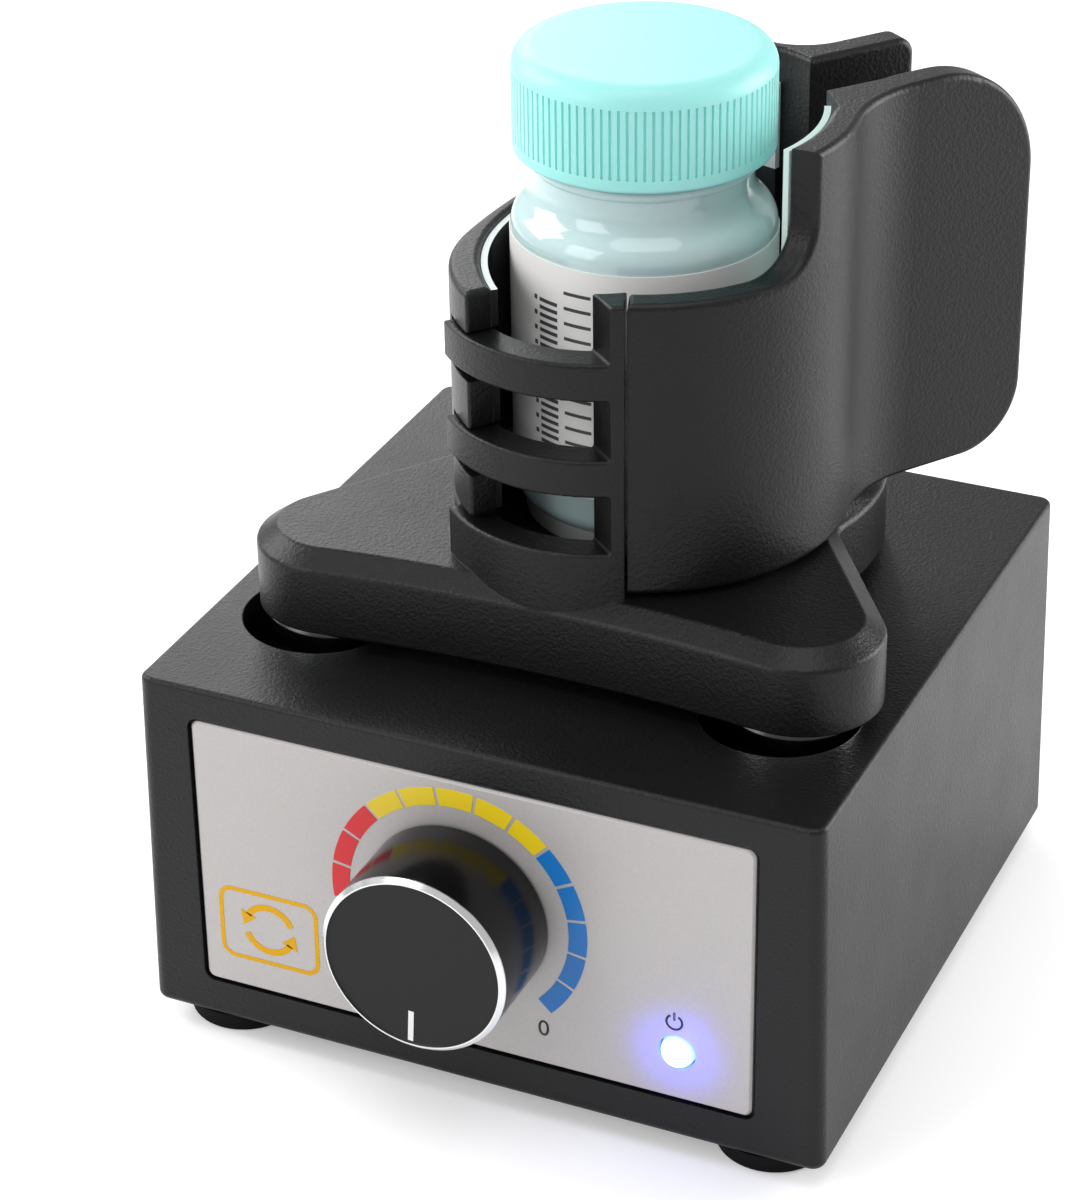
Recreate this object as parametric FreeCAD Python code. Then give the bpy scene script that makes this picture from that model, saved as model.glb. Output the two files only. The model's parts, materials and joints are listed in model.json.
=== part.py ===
import FreeCAD, Part
import math
import os

# Mini vortex mixer: a square housing with a speed knob, and on it a platform that orbits on three
# steel balls and carries a sprung bottle clamp. Lengths are in millimetres, angles in degrees.
# The housing is centred on x = y = 0 while it is built; z = 0 is the surface that the feet stand on.

V = FreeCAD.Vector
X_AXIS = V(1, 0, 0)
Y_AXIS = V(0, 1, 0)
Z_AXIS = V(0, 0, 1)

# Housing
HOUSING_W = 100.0
HOUSING_D = 98.6
HOUSING_H = 54.4
HOUSING_WALL = 3.0
HOUSING_TOP_T = 3.0
SIDE_DRAFT = 1.2
SIDE_CORNER_R = 2.0
TOP_EDGE_R = 0.7
BOTTOM_EDGE_R = 1.2

# Feet, bottom cover and their screws
FOOT_H = 3.3
FOOT_TOP_R = 8.6
FOOT_BOTTOM_R = 7.9
FOOT_EDGE_R = 0.8
FOOT_INSET = 9.0
FOOT_LEDGE_T = 1.0
COVER_T = 2.5
COVER_CLEARANCE = 0.2
BASE_SCREW_R = 1.5
BASE_SCREW_HEAD_R = 2.8
BASE_SCREW_HEAD_H = 2.0
BASE_SCREW_LENGTH = 9.0
SCREW_HOLE_CLEARANCE = 0.2
THREAD_GRIP = 0.15
BOSS_R = 4.5
BOSS_RIB_T = 1.6

# Front panel
PANEL_MARGIN_LEFT = 8.05
PANEL_MARGIN_RIGHT = 9.05
PANEL_MARGIN_LOW = 6.5
PANEL_MARGIN_TOP = 5.2
PANEL_T = 1.0
PANEL_GROOVE = 0.5
PANEL_CORNER_R = 1.2
PANEL_BEVEL = 0.35

# Dial printed round the knob, in three bands of five marks
DIAL_LEFT_OF_MIDDLE = 1.4
DIAL_ABOVE_MIDDLE = 0.95
DIAL_OUTER_R = 19.1
DIAL_INNER_R = 16.4
DIAL_START_DEG = -45.0
DIAL_MARK_DEG = 18.0
DIAL_MARK_GAP_DEG = 1.6
MARKS_PER_BAND = 5
PRINT_T = 0.08

# Speed knob and potentiometer
KNOB_R = 13.5
KNOB_L = 14.0
KNOB_GAP = 0.5
KNOB_RIM_W = 0.8
KNOB_FACE_SINK = 0.25
KNOB_CAVITY_R = 10.5
KNOB_CAVITY_DEPTH = 6.0
KNOB_POINTER_W = 0.8
KNOB_POINTER_L = 4.9
KNOB_POINTER_T = 0.3
KNOB_POINTER_DEG = 3.0
POT_SHAFT_R = 3.0
POT_SHAFT_REACH = 12.0
POT_BUSH_R = 3.5
POT_BUSH_REACH = 3.6
POT_BODY_R = 8.3
POT_BODY_L = 8.6
POT_NUT_FLATS = 10.0
POT_NUT_T = 2.0
POT_WASHER_R = 6.0
POT_WASHER_T = 0.5
RUNNING_FIT = 0.05

# Indicator lamp
LAMP_R = 2.5
LAMP_INSET_X = 10.75
LAMP_INSET_Z = 7.75
LAMP_DOME_OUT = 1.6
LAMP_BODY_L = 6.0
LAMP_FLANGE_R = 3.0
LAMP_FLANGE_T = 1.0
LAMP_FLANGE_GAP = 0.1
LAMP_LEAD_R = 0.35
LAMP_LEAD_PITCH = 2.54
LAMP_CLIP_R = 4.2

# Control board and its parts
BOARD_SIDE_GAP = 1.5
BOARD_LOW_GAP = 7.2
BOARD_TOP_GAP = 13.2
BOARD_T = 1.6
CAPACITOR_R = 4.0
CAPACITOR_L = 11.0
CAPACITOR_PLACE = (0.2, 0.26)
REGULATOR_SIZE = (10.0, 4.5, 15.0)
REGULATOR_PLACE = (0.7, 0.18)
MOTOR_PLUG_SIZE = (10.0, 8.0, 6.0)
MOTOR_PLUG_PLACE = (0.38, 0.09)
POWER_PLUG_SIZE = (8.0, 8.0, 6.0)
POWER_PLUG_PLACE = (0.04, 0.58)
CHIP_SIZE = (6.5, 2.2, 9.0)
CHIP_PLACE = (0.53, 0.47)

# Power inlet at the back
INLET_INSET_X = 22.0
INLET_Z = 15.2
INLET_R = 4.0
INLET_L = 12.0
INLET_FLANGE_R = 6.0
INLET_FLANGE_T = 1.2
INLET_HOLE_R = 2.9
INLET_HOLE_DEPTH = 9.5
INLET_PIN_R = 1.0
INLET_NUT_FLATS = 11.0
INLET_NUT_T = 2.2

# Orbit drive
ORBIT_R = 3.0
REST_PHASE_DEG = 50.0
MOTOR_R = 12.2
MOTOR_CAP_T = 3.0
MOTOR_TAG_L = 2.0
MOTOR_FOOT_GAP = 1.9
MOTOR_PLATE_T = 2.0
MOTOR_PLATE_R = 24.5
MOTOR_PLATE_DROP = 13.0
MOTOR_NOSE_R = 4.0
MOTOR_NOSE_H = 1.5
MOTOR_SHAFT_R = 1.6
MOTOR_SCREW_CIRCLE_R = 8.0
STANDOFF_R = 3.6
STANDOFF_CIRCLE_R = 20.5
PLATE_SCREW_R = 1.25
PLATE_SCREW_HEAD_R = 2.4
PLATE_SCREW_L = 8.0
HUB_R = 8.5
HUB_H = 7.0
HUB_LIFT = 3.0
WEIGHT_R = 14.5
WEIGHT_H = 4.5
PIN_R = 2.5
PIN_COLLAR_R = 3.6
BEARING_R = 8.0
BEARING_W = 5.0
BEARING_RING_T = 1.6
BEARING_BALLS = 7
RETAINER_R = 11.0
RETAINER_T = 1.2
TOP_OPENING_R = 9.0

# Support balls and their pockets
BALL_D = 19.05
POCKET_PLAY = 0.12
POCKET_INSET_X = 15.5
POCKET_INSET_FRONT = 25.3
POCKET_INSET_REAR = 19.3
POCKET_CUP_WALL = 2.4
RUNNING_GAP = 1.8

# Platform
PLATFORM_T = 12.5
LOBE_R = 11.3
FRONT_WAIST_DEPTH = 2.3
FLANK_DEG = -55.9
FLANK_BLEND_R = 4.0
REAR_ARC_R = 31.2
REAR_MARGIN = 15.4
PLATFORM_BEVEL_OUT = 3.0
PLATFORM_BEVEL_DOWN = 2.2
PLATFORM_FOOT_BEVEL = 0.6
PLATFORM_EDGE_R = 0.8

# Clamp: the cage that is one moulding with the platform
CAGE_X = -0.2
CAGE_Y = -11.3
CAGE_R = 21.6
CAGE_WALL = 4.8
CAGE_BACK_END_DEG = 100.0
BASE_WALL_H = 7.0
POST_RISE = 43.0
POST_OUTER_DEG = -62.2
POST_INNER_DEG = -68.8
RING_END_DEG = -50.0
BAR_END_DEG = 223.0
BAR_HIGH_RISE = 29.5
BAR_LOW_RISE = 15.5
BAR_H = 5.4
BAR_EDGE_R = 0.5
CAGE_FOOT_R = 1.0

# The left wall's two faces, each three arcs that run into one another: front, side and back
WALL_SIDE_END_Y = 6.0
OUTER_FACE = {"x": 4.1, "y": -10.8, "front_r": 24.0, "side_r": 100.0, "back_r": 24.5}
INNER_FACE = {"x": 15.3, "y": -4.35, "front_r": 32.6, "side_r": 60.0, "back_r": 22.2}

# Clamp: jaws, pivot and spring
JAW_X = 2.0
JAW_Y = -1.4
JAW_R = 29.2
JAW_WALL = 4.2
SEAM_DEG = -71.3
SEAM_GAP = 0.34
JAW_LIFT = 0.6
RIGHT_RIM_RISE = 43.0
LEFT_RIM_RISE = 40.9
JAW_RISE = 59.4
SCOOP_Y = -9.6
SCOOP_X = 2.0
SCOOP_R = 7.0
SCOOP_REACH = 90.0
RIM_EDGE_R = 0.9
TIP_EDGE_R = 0.4
WING_CURVE_R = 20.0
WING_DIRECTION_DEG = 56.0
WING_PASS_X = 38.6
WING_PASS_Y = 25.2
WING_REACH = 12.0
WING_TIP_T = 3.4
WING_TOP_R = 16.5
WING_LOW_R = 10.0
LEFT_TIP_OUTER_DEG = 230.8
LEFT_TIP_INNER_DEG = 222.6
LEFT_WING_CURVE_R = 8.0
LEFT_WING_DIRECTION_DEG = 53.0
LEFT_WING_PASS_X = 15.6
LEFT_WING_PASS_Y = 26.1
LEFT_WING_REACH = 14.0
LEFT_WING_T = 4.6
LEFT_WING_TOP_R = 2.5
FINGER_CLEAR = 0.3
FINGER_H = 6.5
FINGER_ROOT_DEG = 220.5
COMB_END_DEG = 257.0
COMB_OVERSIZE = 2.0
LINER_T = 0.9
LINER_SEAT = 0.05
LINER_MARGIN = 0.6
LEFT_LINER_START_DEG = 221.6
LEFT_LINER_END_DEG = 72.0
LEFT_LINER_RISE = 54.5
RIGHT_LINER_END_DEG = 21.0
PIVOT_X = 20.9
PIVOT_Y = 16.0
PIVOT_R = 1.5
KNUCKLE_R = 4.2
KNUCKLE_WEB_W = 6.0
KNUCKLE_GAP = 0.1
PIVOT_FLOOR = 3.0
PIVOT_HEAD_R = 2.6
PIVOT_HEAD_H = 1.4
SPRING_COIL_R = 3.0
SPRING_WIRE_R = 0.5
SPRING_TURNS = 6

# Sample bottle, its label and cap
BOTTLE_X = 2.3
BOTTLE_Y = -1.3
BOTTLE_R = 18.05
BOTTLE_WALL = 1.3
BOTTLE_BODY_H = 40.0
BOTTLE_SHOULDER_H = 6.6
BOTTLE_NECK_R = 14.8
BOTTLE_NECK_H = 15.4
BOTTLE_BASE_R = 2.5
BOTTLE_BEAD_R = 15.6
BOTTLE_BEAD_LOW_H = 48.6
BOTTLE_BEAD_H = 1.6
LABEL_LOW_H = 6.0
LABEL_H = 33.5
LABEL_T = 0.12
LABEL_SEAT = 0.03
CAP_R = 17.7
CAP_LOW_H = 50.9
CAP_TOP_T = 2.0
CAP_WALL = 1.4
CAP_RIBS = 98
CAP_RIB_DEPTH = 0.35
CAP_RIB_SHARES = (0.0, 0.5, 0.65, 0.85)
CAP_LIP_H = 1.8
CAP_LIP_R = 0.5
CAP_CROWN_R = 2.8
CAP_LINER_T = 1.0
MAT_T = 2.4
MAT_R = 16.5
REST_GAP = 0.05

HOUSING_TOP = FOOT_H + HOUSING_H
FRONT_Y = -HOUSING_D / 2
BACK_Y = HOUSING_D / 2
FRONT_INSIDE_Y = FRONT_Y + HOUSING_WALL
BACK_INSIDE_Y = BACK_Y - HOUSING_WALL
PLATFORM_LOW = HOUSING_TOP + RUNNING_GAP
PLATFORM_TOP = PLATFORM_LOW + PLATFORM_T
BALL_R = BALL_D / 2
BALL_Z = HOUSING_TOP + RUNNING_GAP / 2
POCKET_R = BALL_R + ORBIT_R / 2 + POCKET_PLAY
POCKET_DEPTH = BALL_R - RUNNING_GAP / 2 + RUNNING_FIT
FOOT_X = HOUSING_W / 2 - FOOT_INSET
FOOT_Y = HOUSING_D / 2 - FOOT_INSET
PANEL_W = HOUSING_W - PANEL_MARGIN_LEFT - PANEL_MARGIN_RIGHT
PANEL_H = HOUSING_H - PANEL_MARGIN_LOW - PANEL_MARGIN_TOP
PANEL_X = (PANEL_MARGIN_LEFT - PANEL_MARGIN_RIGHT) / 2
PANEL_HEIGHT = FOOT_H + PANEL_MARGIN_LOW + PANEL_H / 2
DIAL_X = PANEL_X - DIAL_LEFT_OF_MIDDLE
DIAL_HEIGHT = PANEL_HEIGHT + DIAL_ABOVE_MIDDLE
LAMP_X = PANEL_X + PANEL_W / 2 - LAMP_INSET_X
LAMP_HEIGHT = PANEL_HEIGHT - PANEL_H / 2 + LAMP_INSET_Z
INLET_X = -HOUSING_W / 2 + INLET_INSET_X
BOARD_W = 2 * (FOOT_X - BOSS_R - BOARD_SIDE_GAP)
BOARD_H = HOUSING_H - BOARD_LOW_GAP - BOARD_TOP_GAP
MOTOR_TOP = HOUSING_TOP - MOTOR_PLATE_DROP - MOTOR_PLATE_T
MOTOR_L = MOTOR_TOP - FOOT_H - COVER_T - MOTOR_FOOT_GAP - MOTOR_TAG_L - MOTOR_CAP_T
POCKET_FRONT_X = HOUSING_W / 2 - POCKET_INSET_X
POCKET_FRONT_Y = -HOUSING_D / 2 + POCKET_INSET_FRONT
POCKET_REAR_Y = HOUSING_D / 2 - POCKET_INSET_REAR
FRONT_WAIST_Y = POCKET_FRONT_Y - LOBE_R + FRONT_WAIST_DEPTH
REAR_ARC_Y = POCKET_REAR_Y + REAR_MARGIN - REAR_ARC_R
POST_TOP_Z = PLATFORM_TOP + POST_RISE
BAR_HIGH_Z = PLATFORM_TOP + BAR_HIGH_RISE
BAR_LOW_Z = PLATFORM_TOP + BAR_LOW_RISE
RIGHT_RIM_Z = PLATFORM_TOP + RIGHT_RIM_RISE
LEFT_RIM_Z = PLATFORM_TOP + LEFT_RIM_RISE
JAW_TOP_Z = PLATFORM_TOP + JAW_RISE
PHASE = math.radians(REST_PHASE_DEG)
PLATFORM_SHIFT = V(ORBIT_R * math.cos(PHASE), ORBIT_R * math.sin(PHASE), 0)
BALL_SHIFT = PLATFORM_SHIFT * 0.5
POCKETS = [
    ("front_left", V(-POCKET_FRONT_X, POCKET_FRONT_Y, 0)),
    ("front_right", V(POCKET_FRONT_X, POCKET_FRONT_Y, 0)),
    ("rear", V(0, POCKET_REAR_Y, 0)),
]

# The origin is the middle of the whole object's base, so the length is shared out front and back.
KNOB_FRONT_Y = FRONT_Y - KNOB_GAP - KNOB_L
INLET_BACK_Y = BACK_Y + INLET_FLANGE_T
ORIGIN_SHIFT = V(0, -(KNOB_FRONT_Y + INLET_BACK_Y) / 2, 0)


def polar(centre_x, centre_y, radius, degrees, z=0.0):
    angle = math.radians(degrees)
    return V(centre_x + radius * math.cos(angle), centre_y + radius * math.sin(angle), z)


def rod(radius, length, foot, axis=Z_AXIS):
    return Part.makeCylinder(radius, length, foot, axis)


def tube(outer_r, inner_r, length, foot, axis=Z_AXIS):
    return rod(outer_r, length, foot, axis).cut(rod(inner_r, length, foot, axis))


def block(x_size, y_size, z_size, low):
    return Part.makeBox(x_size, y_size, z_size, low)


def arc_edge(centre_x, centre_y, radius, start_deg, end_deg, z=0.0):
    middle_deg = (start_deg + end_deg) / 2
    points = [polar(centre_x, centre_y, radius, a, z) for a in (start_deg, middle_deg, end_deg)]
    return Part.Arc(*points).toShape()


def line_edge(start, end):
    return Part.LineSegment(start, end).toShape()


def prism(edges, low_z, high_z):
    """A solid with a flat plan outline, drawn at z = 0, between two heights."""
    face = Part.Face(Part.Wire(edges))
    face.translate(V(0, 0, low_z))
    return face.extrude(V(0, 0, high_z - low_z))


def rounded_plate(width, height, corner_r, depth, centre, y_front):
    """An upright plate in the XZ plane with rounded corners; it runs from y_front towards +Y."""
    plate = block(width, depth, height, V(centre.x - width / 2, y_front, centre.z - height / 2))
    corners = [e for e in plate.Edges if abs(e.Vertexes[0].Y - e.Vertexes[1].Y) > depth / 2]
    return plate.makeFillet(corner_r, corners)


def hexagon(flats, thickness, foot, axis):
    """A hexagonal nut blank that stands on foot and grows along axis."""
    corner_r = flats / 2 / math.cos(math.radians(30))
    points = [polar(0, 0, corner_r, 60 * i) for i in range(7)]
    blank = Part.Face(Part.makePolygon(points)).extrude(V(0, 0, thickness))
    blank.Placement = FreeCAD.Placement(foot, FreeCAD.Rotation(Z_AXIS, axis))
    return blank


def edges_where(shape, test):
    return [e for e in shape.Edges if test(e)]


def level(edge, z):
    box = edge.BoundBox
    return abs(box.ZMin - z) < 1e-3 and abs(box.ZMax - z) < 1e-3


def upright(edge):
    box = edge.BoundBox
    return box.ZLength > 1.0 and box.XLength < 1e-3 and box.YLength < 1e-3


def half_width_at(z):
    """Half the housing's width at a height: the sides lean out towards the bottom."""
    return HOUSING_W / 2 + SIDE_DRAFT * (HOUSING_TOP - z) / HOUSING_H


def drafted_block(inset, low_z, high_z):
    """The housing's outside, or its room inside a wall as thick as inset."""
    low = half_width_at(low_z) - inset
    high = half_width_at(high_z) - inset
    y = FRONT_Y + inset
    points = [V(-low, y, low_z), V(low, y, low_z), V(high, y, high_z), V(-high, y, high_z), V(-low, y, low_z)]
    return Part.Face(Part.makePolygon(points)).extrude(V(0, HOUSING_D - 2 * inset, 0))


def at_upright(edge, places):
    """Whether an edge stands upright on one of some plan points."""
    middle = edge.BoundBox.Center
    return upright(edge) and any((V(middle.x, middle.y, 0) - p).Length < 1e-2 for p in places)


def foot_places():
    return [V(sx * FOOT_X, sy * FOOT_Y, 0) for sx in (-1, 1) for sy in (-1, 1)]


def standoff_places():
    return [polar(0, 0, STANDOFF_CIRCLE_R, a) for a in (30, 150, 270)]


# Housing and what is fixed to it

def make_housing():
    outer = drafted_block(0, FOOT_H, HOUSING_TOP)
    outer = outer.makeFillet(SIDE_CORNER_R, edges_where(outer, lambda e: e.BoundBox.ZLength > HOUSING_H / 2))
    outer = outer.makeFillet(TOP_EDGE_R, edges_where(outer, lambda e: level(e, HOUSING_TOP)))
    outer = outer.makeFillet(BOTTOM_EDGE_R, edges_where(outer, lambda e: level(e, FOOT_H)))
    inside_top = HOUSING_TOP - HOUSING_TOP_T
    shell = outer.cut(drafted_block(HOUSING_WALL, FOOT_H, inside_top))
    added = []
    for name, place in POCKETS:
        cup = rod(POCKET_R + POCKET_CUP_WALL, POCKET_DEPTH + POCKET_CUP_WALL,
                  place + V(0, 0, HOUSING_TOP - POCKET_DEPTH - POCKET_CUP_WALL))
        added.append(cup.common(block(HOUSING_W - HOUSING_WALL, HOUSING_D - HOUSING_WALL, HOUSING_H - TOP_EDGE_R,
                                      V((HOUSING_WALL - HOUSING_W) / 2, (HOUSING_WALL - HOUSING_D) / 2, FOOT_H))))
    boss_low = FOOT_H + COVER_T
    for place in foot_places():
        added.append(rod(BOSS_R, inside_top - boss_low, V(place.x, place.y, boss_low)))
        side = math.copysign(1, place.x)
        rib_end = HOUSING_W / 2 + SIDE_DRAFT / 2 - HOUSING_WALL / 2
        rib_x = place.x if side > 0 else -rib_end
        rib_len = rib_end - abs(place.x)
        added.append(block(rib_len, BOSS_RIB_T, inside_top - boss_low,
                           V(rib_x, place.y - BOSS_RIB_T / 2, boss_low)))
    for place in standoff_places():
        added.append(rod(STANDOFF_R, inside_top - MOTOR_TOP - MOTOR_PLATE_T,
                         V(place.x, place.y, MOTOR_TOP + MOTOR_PLATE_T)))
    shell = shell.fuse(added)

    removed = [rod(TOP_OPENING_R, 2 * HOUSING_TOP_T, V(0, 0, inside_top - HOUSING_TOP_T / 2))]
    for name, place in POCKETS:
        removed.append(rod(POCKET_R, POCKET_DEPTH + 1, place + V(0, 0, HOUSING_TOP - POCKET_DEPTH)))
    for place in foot_places():
        removed.append(rod(BASE_SCREW_R - THREAD_GRIP, BASE_SCREW_LENGTH + 1, V(place.x, place.y, boss_low)))
    for place in standoff_places():
        removed.append(rod(PLATE_SCREW_R - THREAD_GRIP, PLATE_SCREW_L,
                           V(place.x, place.y, MOTOR_TOP + MOTOR_PLATE_T)))
    panel_centre = V(PANEL_X, 0, PANEL_HEIGHT)
    removed.append(rounded_plate(PANEL_W + 2 * PANEL_GROOVE, PANEL_H + 2 * PANEL_GROOVE,
                                 PANEL_CORNER_R + PANEL_GROOVE, PANEL_T, panel_centre, FRONT_Y))
    removed.append(rod(POT_BUSH_R + SCREW_HOLE_CLEARANCE, HOUSING_WALL, V(DIAL_X, FRONT_Y, DIAL_HEIGHT), Y_AXIS))
    removed.append(rod(LAMP_R + SCREW_HOLE_CLEARANCE, HOUSING_WALL, V(LAMP_X, FRONT_Y, LAMP_HEIGHT), Y_AXIS))
    removed.append(rod(INLET_R + SCREW_HOLE_CLEARANCE, HOUSING_WALL,
                       V(INLET_X, BACK_INSIDE_Y, INLET_Z + FOOT_H), Y_AXIS))
    return shell.cut(removed)


def make_base_cover():
    plate = drafted_block(HOUSING_WALL + COVER_CLEARANCE, FOOT_H, FOOT_H + COVER_T)
    holes = [rod(BASE_SCREW_R + SCREW_HOLE_CLEARANCE, COVER_T, V(p.x, p.y, FOOT_H)) for p in foot_places()]
    return plate.cut(holes)


def make_feet():
    feet = []
    for place in foot_places():
        foot = Part.makeCone(FOOT_BOTTOM_R, FOOT_TOP_R, FOOT_H, place)
        foot = foot.makeFillet(FOOT_EDGE_R, edges_where(foot, lambda e: level(e, 0.0)))
        head_room = rod(BASE_SCREW_HEAD_R + SCREW_HOLE_CLEARANCE, FOOT_H - FOOT_LEDGE_T, place)
        through = rod(BASE_SCREW_R + SCREW_HOLE_CLEARANCE, FOOT_H, place)
        feet.append(foot.cut([head_room, through]))
    return Part.makeCompound(feet)


def make_screw(radius, length, head_r, head_h, top_of_head, axis):
    """A pan-head screw with a slot; top_of_head is the head's outer face and axis points into the hole."""
    head = rod(head_r, head_h, top_of_head, axis)
    shank = rod(radius, length, top_of_head + axis * head_h, axis)
    side = X_AXIS if abs(axis.x) < 0.5 else Y_AXIS
    across = axis.cross(side)
    slot = block(2 * head_r, head_r * 0.28, head_h * 0.5, V(-head_r, -head_r * 0.14, 0))
    slot.Placement = FreeCAD.Placement(top_of_head, FreeCAD.Rotation(side, across, axis, "ZXY"))
    return head.fuse(shank).cut(slot)


def make_base_screws():
    head_face = FOOT_H - FOOT_LEDGE_T - BASE_SCREW_HEAD_H
    screws = []
    for place in foot_places():
        top = V(place.x, place.y, head_face)
        screws.append(make_screw(BASE_SCREW_R, BASE_SCREW_LENGTH, BASE_SCREW_HEAD_R, BASE_SCREW_HEAD_H, top, Z_AXIS))
    return Part.makeCompound(screws)


def make_front_panel():
    plate = rounded_plate(PANEL_W, PANEL_H, PANEL_CORNER_R, PANEL_T, V(PANEL_X, 0, PANEL_HEIGHT), FRONT_Y)
    front = [e for e in plate.Edges if e.BoundBox.YMax < FRONT_Y + 1e-3]
    plate = plate.makeChamfer(PANEL_BEVEL, front)
    holes = [
        rod(POT_BUSH_R + SCREW_HOLE_CLEARANCE, PANEL_T, V(DIAL_X, FRONT_Y, DIAL_HEIGHT), Y_AXIS),
        rod(LAMP_R + SCREW_HOLE_CLEARANCE, PANEL_T, V(LAMP_X, FRONT_Y, LAMP_HEIGHT), Y_AXIS),
    ]
    return plate.cut(holes)


def make_dial_band(band):
    """Five printed marks of one colour; band 0 is the lowest speed and runs up the right side."""
    marks = []
    for i in range(MARKS_PER_BAND):
        start = DIAL_START_DEG + (band * MARKS_PER_BAND + i) * DIAL_MARK_DEG + DIAL_MARK_GAP_DEG / 2
        end = start + DIAL_MARK_DEG - DIAL_MARK_GAP_DEG
        outline = [
            arc_edge(0, 0, DIAL_OUTER_R, start, end),
            line_edge(polar(0, 0, DIAL_OUTER_R, end), polar(0, 0, DIAL_INNER_R, end)),
            arc_edge(0, 0, DIAL_INNER_R, end, start),
            line_edge(polar(0, 0, DIAL_INNER_R, start), polar(0, 0, DIAL_OUTER_R, start)),
        ]
        mark = prism(outline, 0, PRINT_T)
        mark.Placement = FreeCAD.Placement(V(DIAL_X, FRONT_Y, DIAL_HEIGHT), FreeCAD.Rotation(X_AXIS, 90))
        marks.append(mark)
    return Part.makeCompound(marks)


def make_lamp():
    tip_y = FRONT_Y - LAMP_DOME_OUT
    dome_y = tip_y + LAMP_R
    flange_y = FRONT_INSIDE_Y + LAMP_FLANGE_GAP
    body = rod(LAMP_R, flange_y - dome_y, V(LAMP_X, dome_y, LAMP_HEIGHT), Y_AXIS)
    dome = Part.makeSphere(LAMP_R, V(LAMP_X, dome_y, LAMP_HEIGHT))
    flange = rod(LAMP_FLANGE_R, LAMP_FLANGE_T, V(LAMP_X, flange_y, LAMP_HEIGHT), Y_AXIS)
    return body.fuse([dome, flange] + lamp_leads())


def board_front_y():
    return FRONT_INSIDE_Y + POT_BODY_L


def lamp_flange_back():
    return FRONT_INSIDE_Y + LAMP_FLANGE_GAP + LAMP_FLANGE_T


def lamp_leads():
    back = lamp_flange_back()
    return [rod(LAMP_LEAD_R, board_front_y() - back, V(LAMP_X + side * LAMP_LEAD_PITCH / 2, back, LAMP_HEIGHT), Y_AXIS)
            for side in (-1, 1)]


def make_lamp_holder():
    back = lamp_flange_back()
    sleeve = rod(LAMP_CLIP_R, board_front_y() - back, V(LAMP_X, back, LAMP_HEIGHT), Y_AXIS)
    return sleeve.cut(lamp_leads())


def make_pot_body():
    foot = V(DIAL_X, FRONT_INSIDE_Y, DIAL_HEIGHT)
    can = rod(POT_BODY_R, POT_BODY_L, foot, Y_AXIS)
    bush_l = HOUSING_WALL + POT_BUSH_REACH
    bush = rod(POT_BUSH_R, bush_l, foot, -Y_AXIS)
    bore = rod(POT_SHAFT_R + RUNNING_FIT, bush_l + POT_BODY_L * 0.5, V(DIAL_X, FRONT_Y - POT_BUSH_REACH, DIAL_HEIGHT),
               Y_AXIS)
    return can.fuse(bush).cut(bore)


def make_pot_nut():
    washer = tube(POT_WASHER_R, POT_BUSH_R + RUNNING_FIT, POT_WASHER_T, V(DIAL_X, FRONT_Y, DIAL_HEIGHT), -Y_AXIS)
    nut = hexagon(POT_NUT_FLATS, POT_NUT_T, V(DIAL_X, FRONT_Y - POT_WASHER_T, DIAL_HEIGHT), -Y_AXIS)
    bore = rod(POT_BUSH_R + RUNNING_FIT, POT_NUT_T + 1, V(DIAL_X, FRONT_Y, DIAL_HEIGHT), -Y_AXIS)
    return Part.makeCompound([washer, nut.cut(bore)])


def board_place(shares, y):
    """A point on the control board, as shares of its width and height; y is counted from its front."""
    low_z = FOOT_H + BOARD_LOW_GAP
    return V(BOARD_W * (shares[0] - 0.5), board_front_y() + y, low_z + BOARD_H * shares[1])


def make_control_board():
    return block(BOARD_W, BOARD_T, BOARD_H, board_place((0, 0), 0))


def make_board_parts():
    parts = [rod(CAPACITOR_R, CAPACITOR_L, board_place(CAPACITOR_PLACE, BOARD_T), Y_AXIS)]
    for size, place in ((REGULATOR_SIZE, REGULATOR_PLACE), (MOTOR_PLUG_SIZE, MOTOR_PLUG_PLACE),
                        (POWER_PLUG_SIZE, POWER_PLUG_PLACE), (CHIP_SIZE, CHIP_PLACE)):
        parts.append(block(*size, board_place(place, BOARD_T)))
    return Part.makeCompound(parts)


def make_power_inlet():
    centre = V(INLET_X, 0, INLET_Z + FOOT_H)
    flange = rod(INLET_FLANGE_R, INLET_FLANGE_T, centre + V(0, BACK_Y, 0), Y_AXIS)
    barrel = rod(INLET_R, INLET_L, centre + V(0, BACK_Y - INLET_L, 0), Y_AXIS)
    mouth_y = BACK_Y + INLET_FLANGE_T
    hole = rod(INLET_HOLE_R, INLET_HOLE_DEPTH, centre + V(0, mouth_y - INLET_HOLE_DEPTH, 0), Y_AXIS)
    pin = rod(INLET_PIN_R, INLET_HOLE_DEPTH - 1, centre + V(0, mouth_y - INLET_HOLE_DEPTH, 0), Y_AXIS)
    return flange.fuse(barrel).cut(hole).fuse(pin)


def make_inlet_nut():
    foot = V(INLET_X, BACK_INSIDE_Y, INLET_Z + FOOT_H)
    nut = hexagon(INLET_NUT_FLATS, INLET_NUT_T, foot, -Y_AXIS)
    return nut.cut(rod(INLET_R + RUNNING_FIT, INLET_NUT_T, foot, -Y_AXIS))


# Motor and the orbit drive

def make_motor_can():
    can = rod(MOTOR_R, MOTOR_L, V(0, 0, MOTOR_TOP - MOTOR_L))
    can = can.makeFillet(1.5, edges_where(can, lambda e: level(e, MOTOR_TOP)))
    nose = rod(MOTOR_NOSE_R, MOTOR_NOSE_H, V(0, 0, MOTOR_TOP))
    bore = rod(MOTOR_SHAFT_R + RUNNING_FIT, MOTOR_L + MOTOR_NOSE_H - 4, V(0, 0, MOTOR_TOP - MOTOR_L + 4))
    return can.fuse(nose).cut(bore)


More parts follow.
